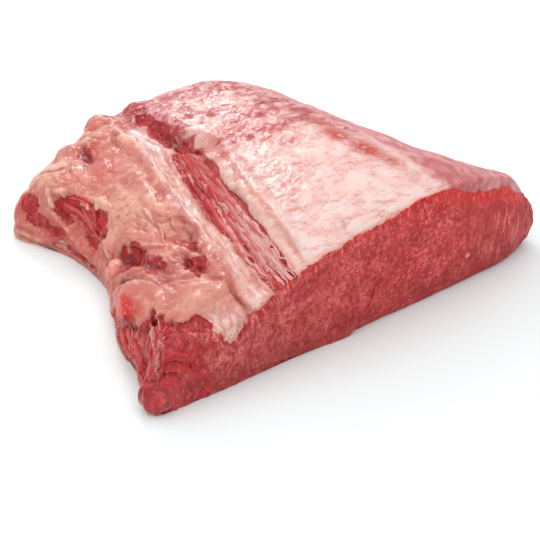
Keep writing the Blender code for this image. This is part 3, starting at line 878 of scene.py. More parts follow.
def fine_relief(points, zone):
    """How far each point of the skin moves out, in metres, for the small forms of each zone. What
    lumps and wrinkles add is kept in the zone as the height, in millimetres."""
    x, y, z = ((points - LOW) / SIZE).T
    lean = ramp(zone["inside"], -0.5, 1)
    soft = 1 - lean
    front = ramp(y, 0.08, 0.03)
    quiet = np.clip(patches(points, QUIET_PATCHES), 0, 1)
    drift = swayed(points, 11 * MM, 31)
    grain = points @ GRAIN_TURN
    wandering = points * (1.1, 0.7, 1.1) + 5 * MM * drift
    nodules = fat_nodules(points, wandering)
    lumps = fat_lumps(wandering, grain, drift) + nodules
    wrinkles, groove, swelling = cap_relief(points, drift, zone["wet"])
    bare = zone["bare"] * soft
    left = zone["left"] * soft * (1 - 0.8 * bare)
    small = left * (1 - 0.6 * zone["lip"]) * (1 - 0.6 * front) * (1 - 0.8 * quiet) * lumps
    small += zone["cap"] * soft * wrinkles
    small += zone["mottled"] * soft * (0.6 * nodules + 0.6 * swelling - 0.6 * groove)
    small += zone["mauve"] * soft * 0.35 * waves(grain * (1, 0.4, 1), 7 * MM, 71, 2)
    along_lip = waves(grain * (1, 0.16, 1) + 1.0 * MM * drift, 5 * MM, 72, 2)
    small += zone["lip"] * soft * 0.9 * along_lip
    small += zone["rim_band"] * soft * (0.9 + 0.5 * swelling)
    small -= zone["rim_groove"] * soft * 0.7 * (0.8 + 0.2 * swelling)
    # the material paints shade in the hollows and light on the crests from this height
    zone["height"] = small
    moved = soft * 0.8 * waves(points, 22 * MM, 21, 2) + small - zone["crease"]
    # bare muscle lies deeper than the fat: coarse fibres in the seam, short threads elsewhere
    fibres = waves(grain * (1, 0.09, 1), 3.4 * MM, 51)
    fibres = fibres + 0.5 * waves(grain * (1, 0.14, 1), 1.8 * MM, 52)
    moved += zone["seam"] * (0.9 * fibres - 1.0)
    threads = waves(points * (1, 1, 0.3), 3.2 * MM, 53, 2)
    sunk = 2.4 * np.clip(1 - zone["crease"] / 3, 0, 1) * (1 - 0.9 * front)
    moved += bare * (1 - zone["seam"]) * (0.9 * threads - sunk)
    moved += lean * cut_relief(points, zone["inside"])
    # the edge of the cut: softly rounded, more so at the lip's end, and rippled
    at_front = ramp(y, 0.20, 0.08)
    ripples = waves(points * (1, 0.3, 0.3), 8 * MM, 84, 2)
    moved += swell(zone["edge"] / 7) * at_front * (0.8 * ripples - 0.3)
    moved -= 1.8 * swell(zone["edge"] / 6) * swell((x - 0.235) / 0.06) * at_front
    return moved * MM


# ---------------------------------------------------------------- materials


def colour(code):
    """An sRGB hex colour as the linear values that the shader reads."""
    values = np.array([int(code[k : k + 2], 16) for k in (1, 3, 5)]) / 255
    linear = np.where(values <= 0.04045, values / 12.92, ((values + 0.055) / 1.055) ** 2.4)
    return (*linear.tolist(), 1)


def add(tree, kind, links=(), **settings):
    """Adds one node. The settings are its properties; the links pair an input's name or number
    with a value, or with the output of another node."""
    node = tree.nodes.new("ShaderNode" + kind)
    for name, value in settings.items():
        setattr(node, name, value)
    for name, value in dict(links).items():
        if isinstance(value, bpy.types.NodeSocket):
            tree.links.new(value, node.inputs[name])
        else:
            node.inputs[name].default_value = value
    return node


def blended(tree, share, under, over):
    """One layer laid over another by a share. Each is an output or the hex code of a colour."""
    under, over = (colour(layer) if isinstance(layer, str) else layer for layer in (under, over))
    return add(tree, "Mix", {0: share, 6: under, 7: over}, data_type="RGBA").outputs[2]


def coated(tree, surface, *coats):
    """A colour with others laid over it in turn, each by its share times its strength."""
    for share, strength, over in coats:
        if strength != 1:
            share = worked(tree, "MULTIPLY", share, strength)
        surface = blended(tree, share, surface, over)
    return surface


def stepped(tree, value, start, end):
    """A smooth step from 0 at start to 1 at end."""
    links = {"Value": value, "From Min": start, "From Max": end}
    return add(tree, "MapRange", links, interpolation_type="SMOOTHSTEP").outputs[0]


def worked(tree, how, *values):
    """One sum of arithmetic on numbers or outputs."""
    return add(tree, "Math", dict(enumerate(values)), operation=how).outputs[0]


def speckled(tree, place, size, detail=2.0, rough=0.5, warp=0.0):
    """Noise from 0 to 1 whose grains are about size millimetres."""
    links = {"Vector": place, "Scale": 1 / (size * MM), "Detail": detail}
    links.update({"Roughness": rough, "Distortion": warp})
    return add(tree, "TexNoise", links).outputs[0]


def stretched(tree, place, turn, scale):
    """A place turned about the upright and then scaled, so that a pattern runs one way."""
    turned = add(tree, "Mapping", {"Vector": place, "Rotation": (0, 0, turn)})
    return add(tree, "Mapping", {"Vector": turned.outputs[0], "Scale": scale}).outputs[0]


def field_of(tree, name):
    """The value of one of the mesh's attributes."""
    return add(tree, "Attribute", attribute_name=name).outputs["Fac"]


def new_material(name):
    """A material with a Principled shader, its tree and the shader."""
    material = bpy.data.materials.new(name)
    material.use_nodes = True
    return material, material.node_tree, material.node_tree.nodes["Principled BSDF"]


def damp(shader, roughness, coat, depth, weight):
    """Flesh is damp and lets light in: its own gloss and refraction, a thin film of water over
    it, and how many millimetres light spreads inside, red the furthest."""
    settings = {
        "Roughness": roughness,
        "IOR": 1.38,
        "Subsurface Weight": weight,
        "Subsurface Radius": (1.0, 0.35, 0.25),
        "Subsurface Scale": depth * MM,
        "Coat Weight": coat,
        "Coat Roughness": 0.07,
        "Coat IOR": 1.33,
    }
    for name, value in settings.items():
        shader.inputs[name].default_value = value


def cut_muscle(tree, place, field):
    """Muscle cut across its grain by a knife: dull red, veined with fine pale marbling that is
    strongest on the left, and brightest in the band that air has reached just below the edge.
    Painted shade darkens it in the crease of its fold and towards the foot."""
    wander = add(tree, "TexNoise", {"Vector": place, "Scale": 1 / (6 * MM), "Detail": 2.0}).outputs[1]
    moved = add(tree, "VectorMath", {0: wander, "Scale": 4.0 * MM}, operation="SCALE").outputs[0]
    moved = add(tree, "VectorMath", {0: place, 1: moved}, operation="ADD").outputs[0]
    axes = add(tree, "SeparateXYZ", {0: place}).outputs
    leftward = stepped(tree, axes[0], 0.06, -0.12)
    rightward = stepped(tree, axes[0], 0.05, 0.14)
    broad = speckled(tree, place, 15, 3.0)
    # marbling: a broken net of veins 3.6 mm apart, flecks, and blotches on the left
    links = {"Vector": moved, "Scale": 1 / (3.6 * MM)}
    cells = add(tree, "TexVoronoi", links, feature="DISTANCE_TO_EDGE").outputs[0]
    net = stepped(tree, cells, 0.32, 0.0)
    net = worked(tree, "MULTIPLY", net, stepped(tree, speckled(tree, moved, 6, 3.0), 0.38, 0.70))
    flecks = stepped(tree, speckled(tree, place, 3.0, 3.0, 0.65, 0.3), 0.46, 0.67)
    blotches = stepped(tree, speckled(tree, moved, 4.2, 2.5, 0.62, 0.5), 0.50, 0.62)
    flecks = blended(tree, worked(tree, "MULTIPLY", leftward, 0.65), flecks, blotches)
    net = worked(tree, "MULTIPLY", net, worked(tree, "MULTIPLY_ADD", leftward, 0.5, 0.5))
    flecks = worked(tree, "MULTIPLY", flecks, 0.95)
    flecks = worked(tree, "MAXIMUM", flecks, worked(tree, "MULTIPLY", net, 0.8))
    # near the edge and on the left it runs in short strokes, and on the right upright
    links = {"Vector": moved, "Rotation": (0, 0.35, 0), "Scale": (1, 1, 0.30)}
    streaks = add(tree, "Mapping", links).outputs[0]
    streaks = stepped(tree, speckled(tree, streaks, 2.2, 2.0, 0.55, 0.3), 0.50, 0.68)
    upright = add(tree, "Mapping", {"Vector": moved, "Scale": (1, 1, 0.16)}).outputs[0]
    upright = stepped(tree, speckled(tree, upright, 2.8, 2.0, 0.55), 0.48, 0.68)
    near_edge = stepped(tree, field["edge"], 12.0, 1.0)
    strokes = worked(tree, "MAXIMUM", near_edge, worked(tree, "MULTIPLY", leftward, 0.5))
    marbling = blended(tree, worked(tree, "MULTIPLY", strokes, 0.7), flecks, streaks)
    marbling = blended(tree, rightward, marbling, upright)
    # how strongly it shows: most on the left, near the edge and high up; thinner near the
    # foot as part of the painted shade there
    strength = worked(tree, "MULTIPLY_ADD", leftward, 0.30, 0.28)
    strength = worked(tree, "MULTIPLY_ADD", near_edge, 0.40, strength)
    strength = worked(tree, "MULTIPLY_ADD", stepped(tree, broad, 0.30, 0.70), 0.50, strength)
    # how far up from the foot: below it, painted shade darkens the lean and thins the marbling
    high = stepped(tree, axes[2], 0.004, 0.034)
    strength = worked(tree, "MULTIPLY", strength, worked(tree, "MULTIPLY_ADD", high, 0.45, 0.55))
    # the lean under it: duller to both sides, and darker towards the foot with painted shade
    dark = stepped(tree, speckled(tree, moved, 3.2, 2.0, 0.6), 0.50, 0.72)
    lean = coated(
        tree,
        blended(tree, stepped(tree, broad, 0.62, 0.38), "#CA3136", "#B01C22"),
        (leftward, 0.65, "#94141A"),
        (rightward, 0.45, "#A82A30"),
        (dark, 1, "#8C0E17"),
        (worked(tree, "MULTIPLY_ADD", high, -0.55, 0.55), 1, "#8A0E16"),
        (marbling, strength, "#F08D86"),
    )
    # the bright band below the edge, wider and stronger to the right
    fresh = blended(tree, worked(tree, "MULTIPLY", strokes, streaks), "#C81E1D", "#E8605A")
    waver = worked(tree, "MULTIPLY_ADD", broad, -10.0, 5.0)
    waver = worked(tree, "ADD", field["edge"], waver)
    narrow = worked(tree, "MULTIPLY", stepped(tree, waver, 7.0, 0.0), 0.55)
    wide = stepped(tree, waver, 17.0, 2.0)
    wide = worked(tree, "MULTIPLY", wide, stepped(tree, axes[0], 0.00, 0.09))
    band = worked(tree, "MAXIMUM", narrow, wide)
    band = worked(tree, "MULTIPLY", band, stepped(tree, axes[0], -0.11, -0.02))
    away = add(tree, "VectorMath", {0: place, 1: FAT_KNOT}, operation="DISTANCE").outputs[1]
    return coated(
        tree,
        lean,
        (band, 0.85, fresh),
        # painted shade in the crease of the fold that runs down the face
        (stepped(tree, field["crease"], 0.3, 1.8), 0.7, "#7E0A14"),
        (stepped(tree, away, 2.4 * MM, 1.4 * MM), 1, "#DB8F87"),
    )


def torn_muscle(tree, place, field):
    """Muscle torn along its grain: deep red fibres, with pink where thin wet film clings and on the
    ridges, where the pink is partly painted highlight, and painted shade in the creases.
    """
    along = stretched(tree, place, -GRAIN_ANGLE, (1, 0.15, 0.5))
    strands = speckled(tree, along, 2.4, 2.0, 0.6, 0.6)
    patch = speckled(tree, place, 8, 2.0)
    film = stepped(tree, speckled(tree, place, 7, 3.0, 0.6, 0.6), 0.54, 0.68)
    # the ridges that stand out take the film's pink as well, partly as painted highlight
    film = worked(tree, "MAXIMUM", film, stepped(tree, field["crease"], -0.8, -2.4))
    return coated(
        tree,
        blended(tree, stepped(tree, patch, 0.4, 0.62), "#960E14", "#B41E22"),
        (film, 0.36, "#CB6E6A"),
        # painted shade in the creases
        (stepped(tree, field["crease"], 1.0, 4.5), 1, "#800A14"),
        (stepped(tree, strands, 0.54, 0.76), 1, "#C95A54"),
    )


def cap_fat(tree, place, field, cloud):
    """The cap: firm pale fat, ruddy where it is wet, with dull veins, painted shade that darkens its
    winding grooves, and a few warm stains."""
    ruddy = stepped(tree, speckled(tree, place, 7, 4.0, 0.6, 0.6), 0.40, 0.62)
    ruddy = worked(tree, "MULTIPLY", ruddy, field["wet"])
    vein = speckled(tree, place, 9, 3.0, 0.65, 1.0)
    vein = worked(tree, "ABSOLUTE", worked(tree, "SUBTRACT", vein, 0.5))
    vein = stepped(tree, vein, 0.018, 0.0)
    vein = worked(tree, "MULTIPLY", vein, stepped(tree, cloud, 0.48, 0.62))
    stain = speckled(tree, stretched(tree, place, 0.5, (1, 2.2, 1)), 11, 3.0)
    return coated(
        tree,
        blended(tree, stepped(tree, cloud, 0.35, 0.65), "#E1C4BE", "#DCB1A9"),
        (ruddy, 0.8, "#C67A74"),
        (vein, 0.75, "#A0505A"),
        # painted shade in the grooves of the wrinkles, read from the height
        (stepped(tree, field["height"], -0.25, -0.75), 0.5, "#B26C70"),
        (stepped(tree, stain, 0.56, 0.68), 0.6, "#CF8273"),
    )


def left_fat(tree, place, field, cloud, ragged, hollow_shade):
    """Soft fat on the left: redder and darker in its clefts and hollows with painted shade, creamier
    on its ridges, and creamier on the crests of its lumps partly with painted light.
    """
    cream_and_light = stepped(tree, speckled(tree, place, 6, 3.0, 0.5), 0.52, 0.68)
    cream_and_light = worked(tree, "MULTIPLY", cream_and_light, 0.5)
    # painted light: paler on the crests of the lumps, read from the height
    crest_light = worked(tree, "MULTIPLY", stepped(tree, field["height"], 0.25, 1.1), 0.6)
    spots = worked(tree, "MULTIPLY", field["creamy_and_highlight"], stepped(tree, ragged, 0.30, 0.55))
    for other in (crest_light, spots, stepped(tree, field["crease"], -0.8, -2.2)):
        cream_and_light = worked(tree, "MAXIMUM", cream_and_light, other)
    return coated(
        tree,
        blended(tree, stepped(tree, cloud, 0.38, 0.62), "#C67969", "#B9665A"),
        (cream_and_light, 1, "#E0AC95"),
        # painted shade in the hollows
        (hollow_shade, 0.75, "#A34741"),
        (field["blush_and_foot_shade"], stepped(tree, ragged, 0.25, 0.55), "#C04C45"),
        # painted shade in the clefts
        (stepped(tree, field["crease"], 1.2, 3.6), 1, "#8F1F22"),
    )


def mottled_back(tree, place, field):
    """The back: fat and bare muscle that run into each other in blotches of about 10 mm. The pale
    patches laid on it are painted highlights, bumps are a little paler and hollows redder as
    painted light and shade, and painted shade darkens the creases.
    """
    cells = speckled(tree, place, 10, 4.0, 0.55, 0.5)
    # blushes pull the blotches red, the pale patches of painted highlight pull them pale, and the height
    # gives a little painted light on bumps and painted shade in hollows
    for name, pull in (("blush_and_foot_shade", 0.13), ("creamy_and_highlight", -0.15), ("height", -0.05)):
        cells = worked(tree, "MULTIPLY_ADD", field[name], pull, cells)
    blotchy = blended(tree, stepped(tree, cells, 0.36, 0.61), "#DCAAA2", "#A6343A")
    # painted shade in the creases
    return coated(tree, blotchy, (stepped(tree, field["crease"], 0.8, 3.0), 1, "#8E1219"))


def silverskin_side(tree, place):
    """The right side: thin silvery film over muscle, streaked along the grain."""
    streak = stretched(tree, place, -GRAIN_ANGLE + 0.15, (1, 0.3, 1))
    streak = speckled(tree, streak, 4, 3.0, 0.6, 0.3)
    veil = stepped(tree, speckled(tree, place, 24, 3.0, 0.6, 0.4), 0.36, 0.66)
    return coated(
        tree,
        blended(tree, veil, "#CF8A8B", "#BA6364"),
        (stepped(tree, streak, 0.42, 0.72), 0.5, "#A03A3E"),
        (stepped(tree, streak, 0.46, 0.26), 0.6, "#D8A09F"),
    )


def lip_fat(tree, place, hollow_shade):
    """The wet lip beside the seam: drawn out along the grain in pale streaks, and paler towards its
    head, both partly painted highlight, with painted shade in its hollows.
    """
    # pale streaks along the grain: partly real fat, partly painted highlight
    streaks_and_sheen = stretched(tree, place, -GRAIN_ANGLE, (1, 0.2, 1))
    streaks_and_sheen = stepped(tree, speckled(tree, streaks_and_sheen, 3.4, 3.0, 0.6, 0.3), 0.38, 0.60)
    axes = add(tree, "SeparateXYZ", {0: place}).outputs
    return coated(
        tree,
        blended(tree, streaks_and_sheen, "#CC8C83", "#E4C3B9"),
        # paler towards the head: partly painted highlight
        (stepped(tree, axes[1], 0.0, 0.06), 0.7, "#EBD3D2"),
        # painted shade in the hollows
        (hollow_shade, 0.8, "#A85552"),
    )


def whole_fat(tree, place, field):
    """All the fat, zone over zone, and then the marks that lie across the zones. Also how
    strongly the warm patch shows, as it lies over the muscle too."""
    cloud = speckled(tree, place, 13, 3.0)
    ragged = speckled(tree, place, 4, 3.0, 0.6)
    # painted shade where the small forms sink in, for the left fat and the lip
    hollow_shade = stepped(tree, field["height"], -0.2, -1.5)
    broken = worked(tree, "MULTIPLY_ADD", cloud, 1.2, 0.20)
    groove = worked(tree, "MULTIPLY", field["rim_groove"], broken)
    near_edge = worked(tree, "MULTIPLY", stepped(tree, field["edge"], -4.0, -1.0), 0.6)
    red_edge = stepped(tree, field["edge"], -1.6, -0.1)
    red_edge = worked(tree, "MULTIPLY", red_edge, field["mauve"])
    warm = worked(tree, "MULTIPLY", field["warm"], stepped(tree, ragged, 0.28, 0.50))
    fat = coated(
        tree,
        cap_fat(tree, place, field, cloud),
        (field["left"], 1, left_fat(tree, place, field, cloud, ragged, hollow_shade)),
        (field["mottled"], 1, mottled_back(tree, place, field)),
        (field["mauve"], 1, silverskin_side(tree, place)),
        (field["lip"], 0.85, lip_fat(tree, place, hollow_shade)),
        # the band and the groove beside the seam, and the streaks at the back
        (field["rim_band"], 0.6, "#E6B9AE"),
        (groove, 0.8, "#C9826C"),
        (field["smear"], stepped(tree, ragged, 0.20, 0.50), "#B5453C"),
        # just behind the cut edge: warm on the cap, and red on the film
        (near_edge, worked(tree, "SUBTRACT", 1.0, field["mauve"]), "#D79584"),
        (red_edge, 0.8, "#B4282A"),
        (warm, 1, "#D82818"),
    )
    return fat, warm


def bumpy(tree, shader, height, strength, rise):
    """Small unevenness that only shades the surface, up to a rise in millimetres."""
    bump = add(tree, "Bump", {"Height": height, "Strength": strength, "Distance": rise * MM})
    tree.links.new(bump.outputs[0], shader.inputs["Normal"])


def beef_material():
    """Fresh beef, cut with a knife at the front and trimmed elsewhere: damp muscle under fat.
    The fat is pale and firm on the cap, and soft, warm and see-through on the left. The film on
    it shines most where juice lies, and the cut muscle is the dullest."""
    material, tree, shader = new_material("raw_beef_and_fat")
    place = add(tree, "TexCoord").outputs["Object"]
    field = {name: field_of(tree, name) for name in ZONE_NAMES}
    fat, warm = whole_fat(tree, place, field)
    wander = worked(tree, "MULTIPLY_ADD", speckled(tree, place, 2.0), 1.6, -0.8)
    on_cut = stepped(tree, worked(tree, "ADD", field["inside"], wander), -0.5, 0.6)
    surface = coated(
        tree,
        fat,
        (stepped(tree, field["bare"], 0.25, 0.75), 1, torn_muscle(tree, place, field)),
        (warm, 0.85, "#D0140A"),
        (on_cut, 1, cut_muscle(tree, place, field)),
    )
    tree.links.new(surface, shader.inputs["Base Color"])
    damp(shader, 0.34, 0.30, 4, 0.30)
    grain = speckled(tree, place, 1.6, 3.0, 0.6, 0.3)
    swollen = speckled(tree, place, 4.5, 2.0, 0.5, 0.5)
    bumpy(tree, shader, worked(tree, "MULTIPLY_ADD", swollen, 2.0, grain), 0.48, 0.5)
    pools = stepped(tree, speckled(tree, place, 12, 3.0), 0.45, 0.68)
    wetness = worked(tree, "MULTIPLY_ADD", pools, 0.25, field["wet"])
    dryness = worked(tree, "MULTIPLY_ADD", wetness, -0.12, 0.50)
    dryness = worked(tree, "MULTIPLY_ADD", on_cut, 0.08, dryness)
    tree.links.new(dryness, shader.inputs["Roughness"])
    film = worked(tree, "MULTIPLY_ADD", wetness, 0.55, 0.03)
    film = worked(tree, "MULTIPLY", film, worked(tree, "SUBTRACT", 1.0, on_cut))
    tree.links.new(film, shader.inputs["Coat Weight"])
    return material


def fat_material():
    """Soft trimmed fat: warm, smooth, wet and see-through, from cream to red by its tint."""
    material, tree, shader = new_material("soft_wet_fat")
    place = add(tree, "TexCoord").outputs["Object"]
    tint = field_of(tree, "tint")
    cloud = speckled(tree, place, 9, 3.0)
    flush = stepped(tree, speckled(tree, place, 5, 4.0, 0.65, 0.8), 0.56, 0.70)
    surface = coated(
        tree,
        blended(tree, stepped(tree, cloud, 0.35, 0.65), "#DA8E7E", "#CB7266"),
        (stepped(tree, tint, 0.45, 0.0), 1, "#E2AC9A"),
        (flush, 0.55, "#BC4843"),
        (stepped(tree, tint, 0.6, 1.0), 1, "#B23A34"),
        (field_of(tree, "glow"), 1, "#DA1C10"),
    )
    tree.links.new(surface, shader.inputs["Base Color"])
    damp(shader, 0.36, 0.30, 5, 0.40)
    bumpy(tree, shader, speckled(tree, place, 3.2, 3.0, 0.6, 0.4), 0.5, 0.6)
    return material


def fibre_material():
    """Bundles of muscle fibre pulled apart: deep red to pink, with clinging pale film."""
    material, tree, shader = new_material("muscle_fibres")
    place = add(tree, "TexCoord").outputs["Object"]
    tint = worked(tree, "SUBTRACT", field_of(tree, "tint"), 0.15)
    tint = worked(tree, "MULTIPLY_ADD", speckled(tree, place, 5, 2.0), 0.3, tint)
    surface = coated(
        tree,
        blended(tree, stepped(tree, tint, 0.0, 0.45), "#960E14", "#BC2E30"),
        (stepped(tree, tint, 0.45, 0.75), 1, "#C95F5A"),
        (stepped(tree, tint, 0.75, 1.0), 1, "#DC9C95"),
    )
    tree.links.new(surface, shader.inputs["Base Color"])
    damp(shader, 0.46, 0.08, 2, 0.30)
    along = stretched(tree, place, -GRAIN_ANGLE, (1, 0.2, 1))
    bumpy(tree, shader, speckled(tree, along, 1.0, 2.0), 0.3, 0.3)
    return material


def film_material():
    """Silverskin: thin strips of pale connective film, wet and slightly see-through."""
    material, tree, shader = new_material("silverskin_film")
    place = add(tree, "TexCoord").outputs["Object"]
    cloud = stepped(tree, speckled(tree, place, 6, 2.0), 0.35, 0.65)
    surface = blended(tree, cloud, "#D39A93", "#BC6A65")
    tree.links.new(surface, shader.inputs["Base Color"])
    damp(shader, 0.38, 0.2, 2, 0.30)
    return material


def floor_material():
    """Matt white card, slightly cool, for the floor."""
    material, tree, shader = new_material("white_card")
    shader.inputs["Base Color"].default_value = colour("#ECF4F4")
    shader.inputs["Roughness"].default_value = 0.9
    return material


# ---------------------------------------------------------------- pieces


def mesh_piece(name, points, faces, material, attributes=()):
    """A new object at the origin from points, a list of face arrays and attributes by name."""
    mesh = bpy.data.meshes.new(name)
    mesh.from_pydata(points.tolist(), [], [face for group in faces for face in group.tolist()])
    mesh.shade_smooth()
    mesh.materials.append(material)
    write_fields(mesh, dict(attributes))
    piece = bpy.data.objects.new(name, mesh)
    bpy.context.scene.collection.objects.link(piece)
    return piece


def write_fields(mesh, fields):
    """One number for each point of the mesh under each name."""
    for label, values in fields.items():
        layer = mesh.attributes.new(label, "FLOAT", "POINT")
        layer.data.foreach_set("value", np.ascontiguousarray(values, np.float32))


def refined(grid, rows, columns):
    """A grid of values read again at even places, by Catmull-Rom curves along both its ways."""
    for axis, count in ((0, rows), (1, columns)):
        grid = np.moveaxis(grid, axis, 0)
        where = np.linspace(0, len(grid) - 1, count + 1)
        first = np.minimum(where.astype(int), len(grid) - 2)
        t = (where - first)[:, None, None]
        ends = np.concatenate([2 * grid[:1] - grid[1:2], grid, 2 * grid[-1:] - grid[-2:-1]])
        a, b, c, d = (ends[first + k] for k in range(4))
        grid = b + 0.5 * t * (c - a + t * (2 * a - 5 * b + 4 * c - d + t * (3 * b - a - 3 * c + d)))
        grid = np.moveaxis(grid, 0, axis)
    return grid


def grid_normals(grid):
    """Normals of a grid of points: across the columns and then the rows."""
    normals = np.cross(np.gradient(grid, axis=1), np.gradient(grid, axis=0))
    return normals / np.linalg.norm(normals, axis=2, keepdims=True)


def from_border(rows, columns):
    """How many steps each point of a grid lies from the nearest side."""
    row, column = np.ogrid[: rows + 1, : columns + 1]
    return np.minimum(np.minimum(row, rows - row), np.minimum(column, columns - column))


# The left and the right fine layer lap over each other by a few columns of the top, and the
# front one reaches a few rows in from the cut edge.
LEFT_LAYER_COLUMNS = 104
LAYER_OVERLAP = 8
FRONT_LAYER_ROWS = 7


def layer_places():
    """Where the three fine layers lie, as grids of the skin's point numbers, and how many rows
    and columns each is read at. Each runs from the foot up a wall and on over the top: the left
    one to the seam, the right one to the seam from the other side, and the front one a little
    way in from the cut edge."""
    top = np.arange((ROWS + 1) * (COLUMNS + 1)).reshape(ROWS + 1, COLUMNS + 1)
    around = 2 * (COLUMNS + ROWS)
    walls = top.size + np.arange(SHOULDER_RINGS + BELLY_RINGS)[:, None] * around
    left_side = np.concatenate([[0], np.arange(around - 1, 2 * COLUMNS + ROWS - 1, -1)])
    right_side = np.arange(COLUMNS, COLUMNS + ROWS + 1)
    left_wall = (walls + left_side)[::-1].T
    right_wall = (walls + right_side).T
    front_wall = (walls + np.arange(COLUMNS + 1))[::-1]
    left_top = top[:, :LEFT_LAYER_COLUMNS]
    right_top = top[:, LEFT_LAYER_COLUMNS - LAYER_OVERLAP :]
    return (
        ("left_layer", np.hstack([left_wall, left_top]), 430, 226),
        ("right_layer", np.hstack([right_top, right_wall]), 330, 290),
        ("front_layer", np.vstack([front_wall, top[:FRONT_LAYER_ROWS]]), 120, 700),
    )


# The skin sinks beneath each fine layer, and each layer's border dips under the skin and then
# turns in as a skirt.
SUNK = 9 * MM
DIP = 1.2 * MM
SKIRT = 4 * MM


def make_layer(name, numbers, rows, columns, form, material):
    """A fine layer over part of the skin: the skin's own form read at finer places, with the
    small forms on it. Its border turns in and closes on one point inside the joint."""
    grid = refined(form[numbers], rows, columns)
    below, on_wall = grid[..., 3].ravel(), grid[..., 4].ravel() > 0.5
    normals = grid_normals(grid[..., :3]).reshape(-1, 3)
    points = grid[..., :3].reshape(-1, 3)
    zone = zones(points, below, on_wall)
    dip = DIP * (1 - ramp(from_border(rows, columns).ravel(), 0, 4))
    points = pushed(points, normals, fine_relief(points, zone) - dip)
    order = np.arange(len(points)).reshape(rows + 1, columns + 1)
    border = np.concatenate([order[0, :-1], order[:-1, -1], order[-1, :0:-1], order[:0:-1, 0]])
    inner = points[border] - SKIRT * normals[border]
    inner[:, 2] = np.maximum(inner[:, 2], 1 * MM)
    middle = np.array([[points[:, 0].mean(), points[:, 1].mean(), 0.25 * HEIGHT]])
    ring = len(points) + np.arange(len(border))
    hub = np.full(len(border), len(points) + len(border))
    fan = np.stack([ring, hub, np.roll(ring, -1)], axis=1)
    quads = grid_faces(rows, columns)
    unseen = np.zeros(len(border) + 1)
    fields = {label: np.append(zone[label], unseen) for label in ZONE_NAMES}
    every = np.vstack([points, inner, middle])
    layer = mesh_piece(name, every, [quads, ring_faces(border, ring), fan], material, fields)
    return layer, points, quads


# Each point of the skin lies some way below the cut edge. On the cut face's wall, which ends at
# this place along the stations, that is its depth, and on the other walls a fixed distance the
# other way. On the top it is how far back it lies from the edge, which stands this share of
# WIDTH behind the foremost point.
CUT_WALL_ENDS = 10.5
OTHER_WALLS = -50 * MM
EDGE_SETS_BACK = 0.013


def make_skin(material):
    """The whole surface of the joint, closed, as one piece, and the fine layers over it."""
    points, faces, fan, freedom, along, depth = skin()
    piece = mesh_piece("brisket_skin", points, faces + [fan], material)
    mesh = piece.data
    points = relaxed(points, mesh, freedom)
    normals = normals_of(mesh, points)
    facing_up = np.clip(normals[:, 2] * 1.5, 0, 1)
    points = fitted(pushed(points, normals, relief(points, facing_up)))
    normals = normals_of(mesh, points)
    on_wall = along >= 0
    on_top = EDGE_SETS_BACK * WIDTH - (points[:, 1] - LOW[1])
    below = np.where(on_wall, np.where(along < CUT_WALL_ENDS, depth, OTHER_WALLS), on_top)
    form = np.column_stack([points, below, on_wall])
    sunk = np.zeros(len(points))
    pieces, surfaces = [piece], []
    for name, numbers, rows, columns in layer_places():
        layer, surface, quads = make_layer(name, numbers, rows, columns, form, material)
        pieces.append(layer)
        surfaces.append((surface, [quads], np.zeros(len(surface))))
        covered = ramp(from_border(numbers.shape[0] - 1, numbers.shape[1] - 1), 1, 7)
        np.maximum.at(sunk, numbers.ravel(), covered.ravel())
    zone = zones(points, below, on_wall)
    points = pushed(points, normals, fine_relief(points, zone) - SUNK * sunk)
    mesh.vertices.foreach_set("co", points.ravel())
    mesh.update()
    write_fields(mesh, {label: zone[label] for label in ZONE_NAMES})
    surface, quads = joined(surfaces)[:2]
    quads = [face for group in quads for face in group.tolist()]
    return pieces, BVHTree.FromPolygons(surface.tolist(), quads)


def landed(tree, points):
    """The nearest places on the skin to the given ones, and the skin's normals there."""
    flat = points.reshape(-1, 3)
    hits = [tree.find_nearest(place)[:2] for place in flat.tolist()]
    return tuple(np.array([hit[k] for hit in hits]).reshape(points.shape) for k in (0, 1))


def closed_tubes(rings, sides, copies):
    """The faces of closed tubes that are alike: quads from ring to ring, and at each end a fan
    round a point. Those two points come after a tube's rings, the start's first."""
    grid = np.arange(rings * sides).reshape(rings, sides)
    here, there = grid[:-1], grid[1:]
    quads = [here, there, np.roll(there, -1, axis=1), np.roll(here, -1, axis=1)]
    quads = np.stack(quads, axis=-1).reshape(-1, 4)
    first, last = grid[0], grid[-1]
    start = np.stack([np.full(sides, grid.size), first, np.roll(first, -1)], axis=-1)
    end = np.stack([np.full(sides, grid.size + 1), np.roll(last, -1), last], axis=-1)
    shift = (np.arange(copies) * (grid.size + 2))[:, None, None]
    return [(group + shift).reshape(-1, group.shape[1]) for group in (quads, start, end)]


STRAND_SIDES = 8
STRAND_STEPS = 34
GUIDE_STEPS = 8


def carried(paths, ups, widths, thicks):
    """Closed strands: an ellipse carried along each path, widths across it and thicks along ups,
    with a point in the middle of each end. All strands have the same number of steps."""
    run = np.gradient(paths, axis=1)
    run = run / np.linalg.norm(run, axis=2, keepdims=True)
    across = np.cross(run, ups)
    across = across / np.linalg.norm(across, axis=2, keepdims=True)
    ups = np.cross(across, run)
    turn = np.arange(STRAND_SIDES) * 2 * np.pi / STRAND_SIDES
    wide = across[:, :, None] * (widths[..., None] * np.cos(turn))[..., None]
    tall = ups[:, :, None] * (thicks[..., None] * np.sin(turn))[..., None]
    rings = (paths[:, :, None] + wide + tall).reshape(len(paths), -1, 3)
    return np.concatenate([rings, paths[:, :1], paths[:, -1:]], axis=1)


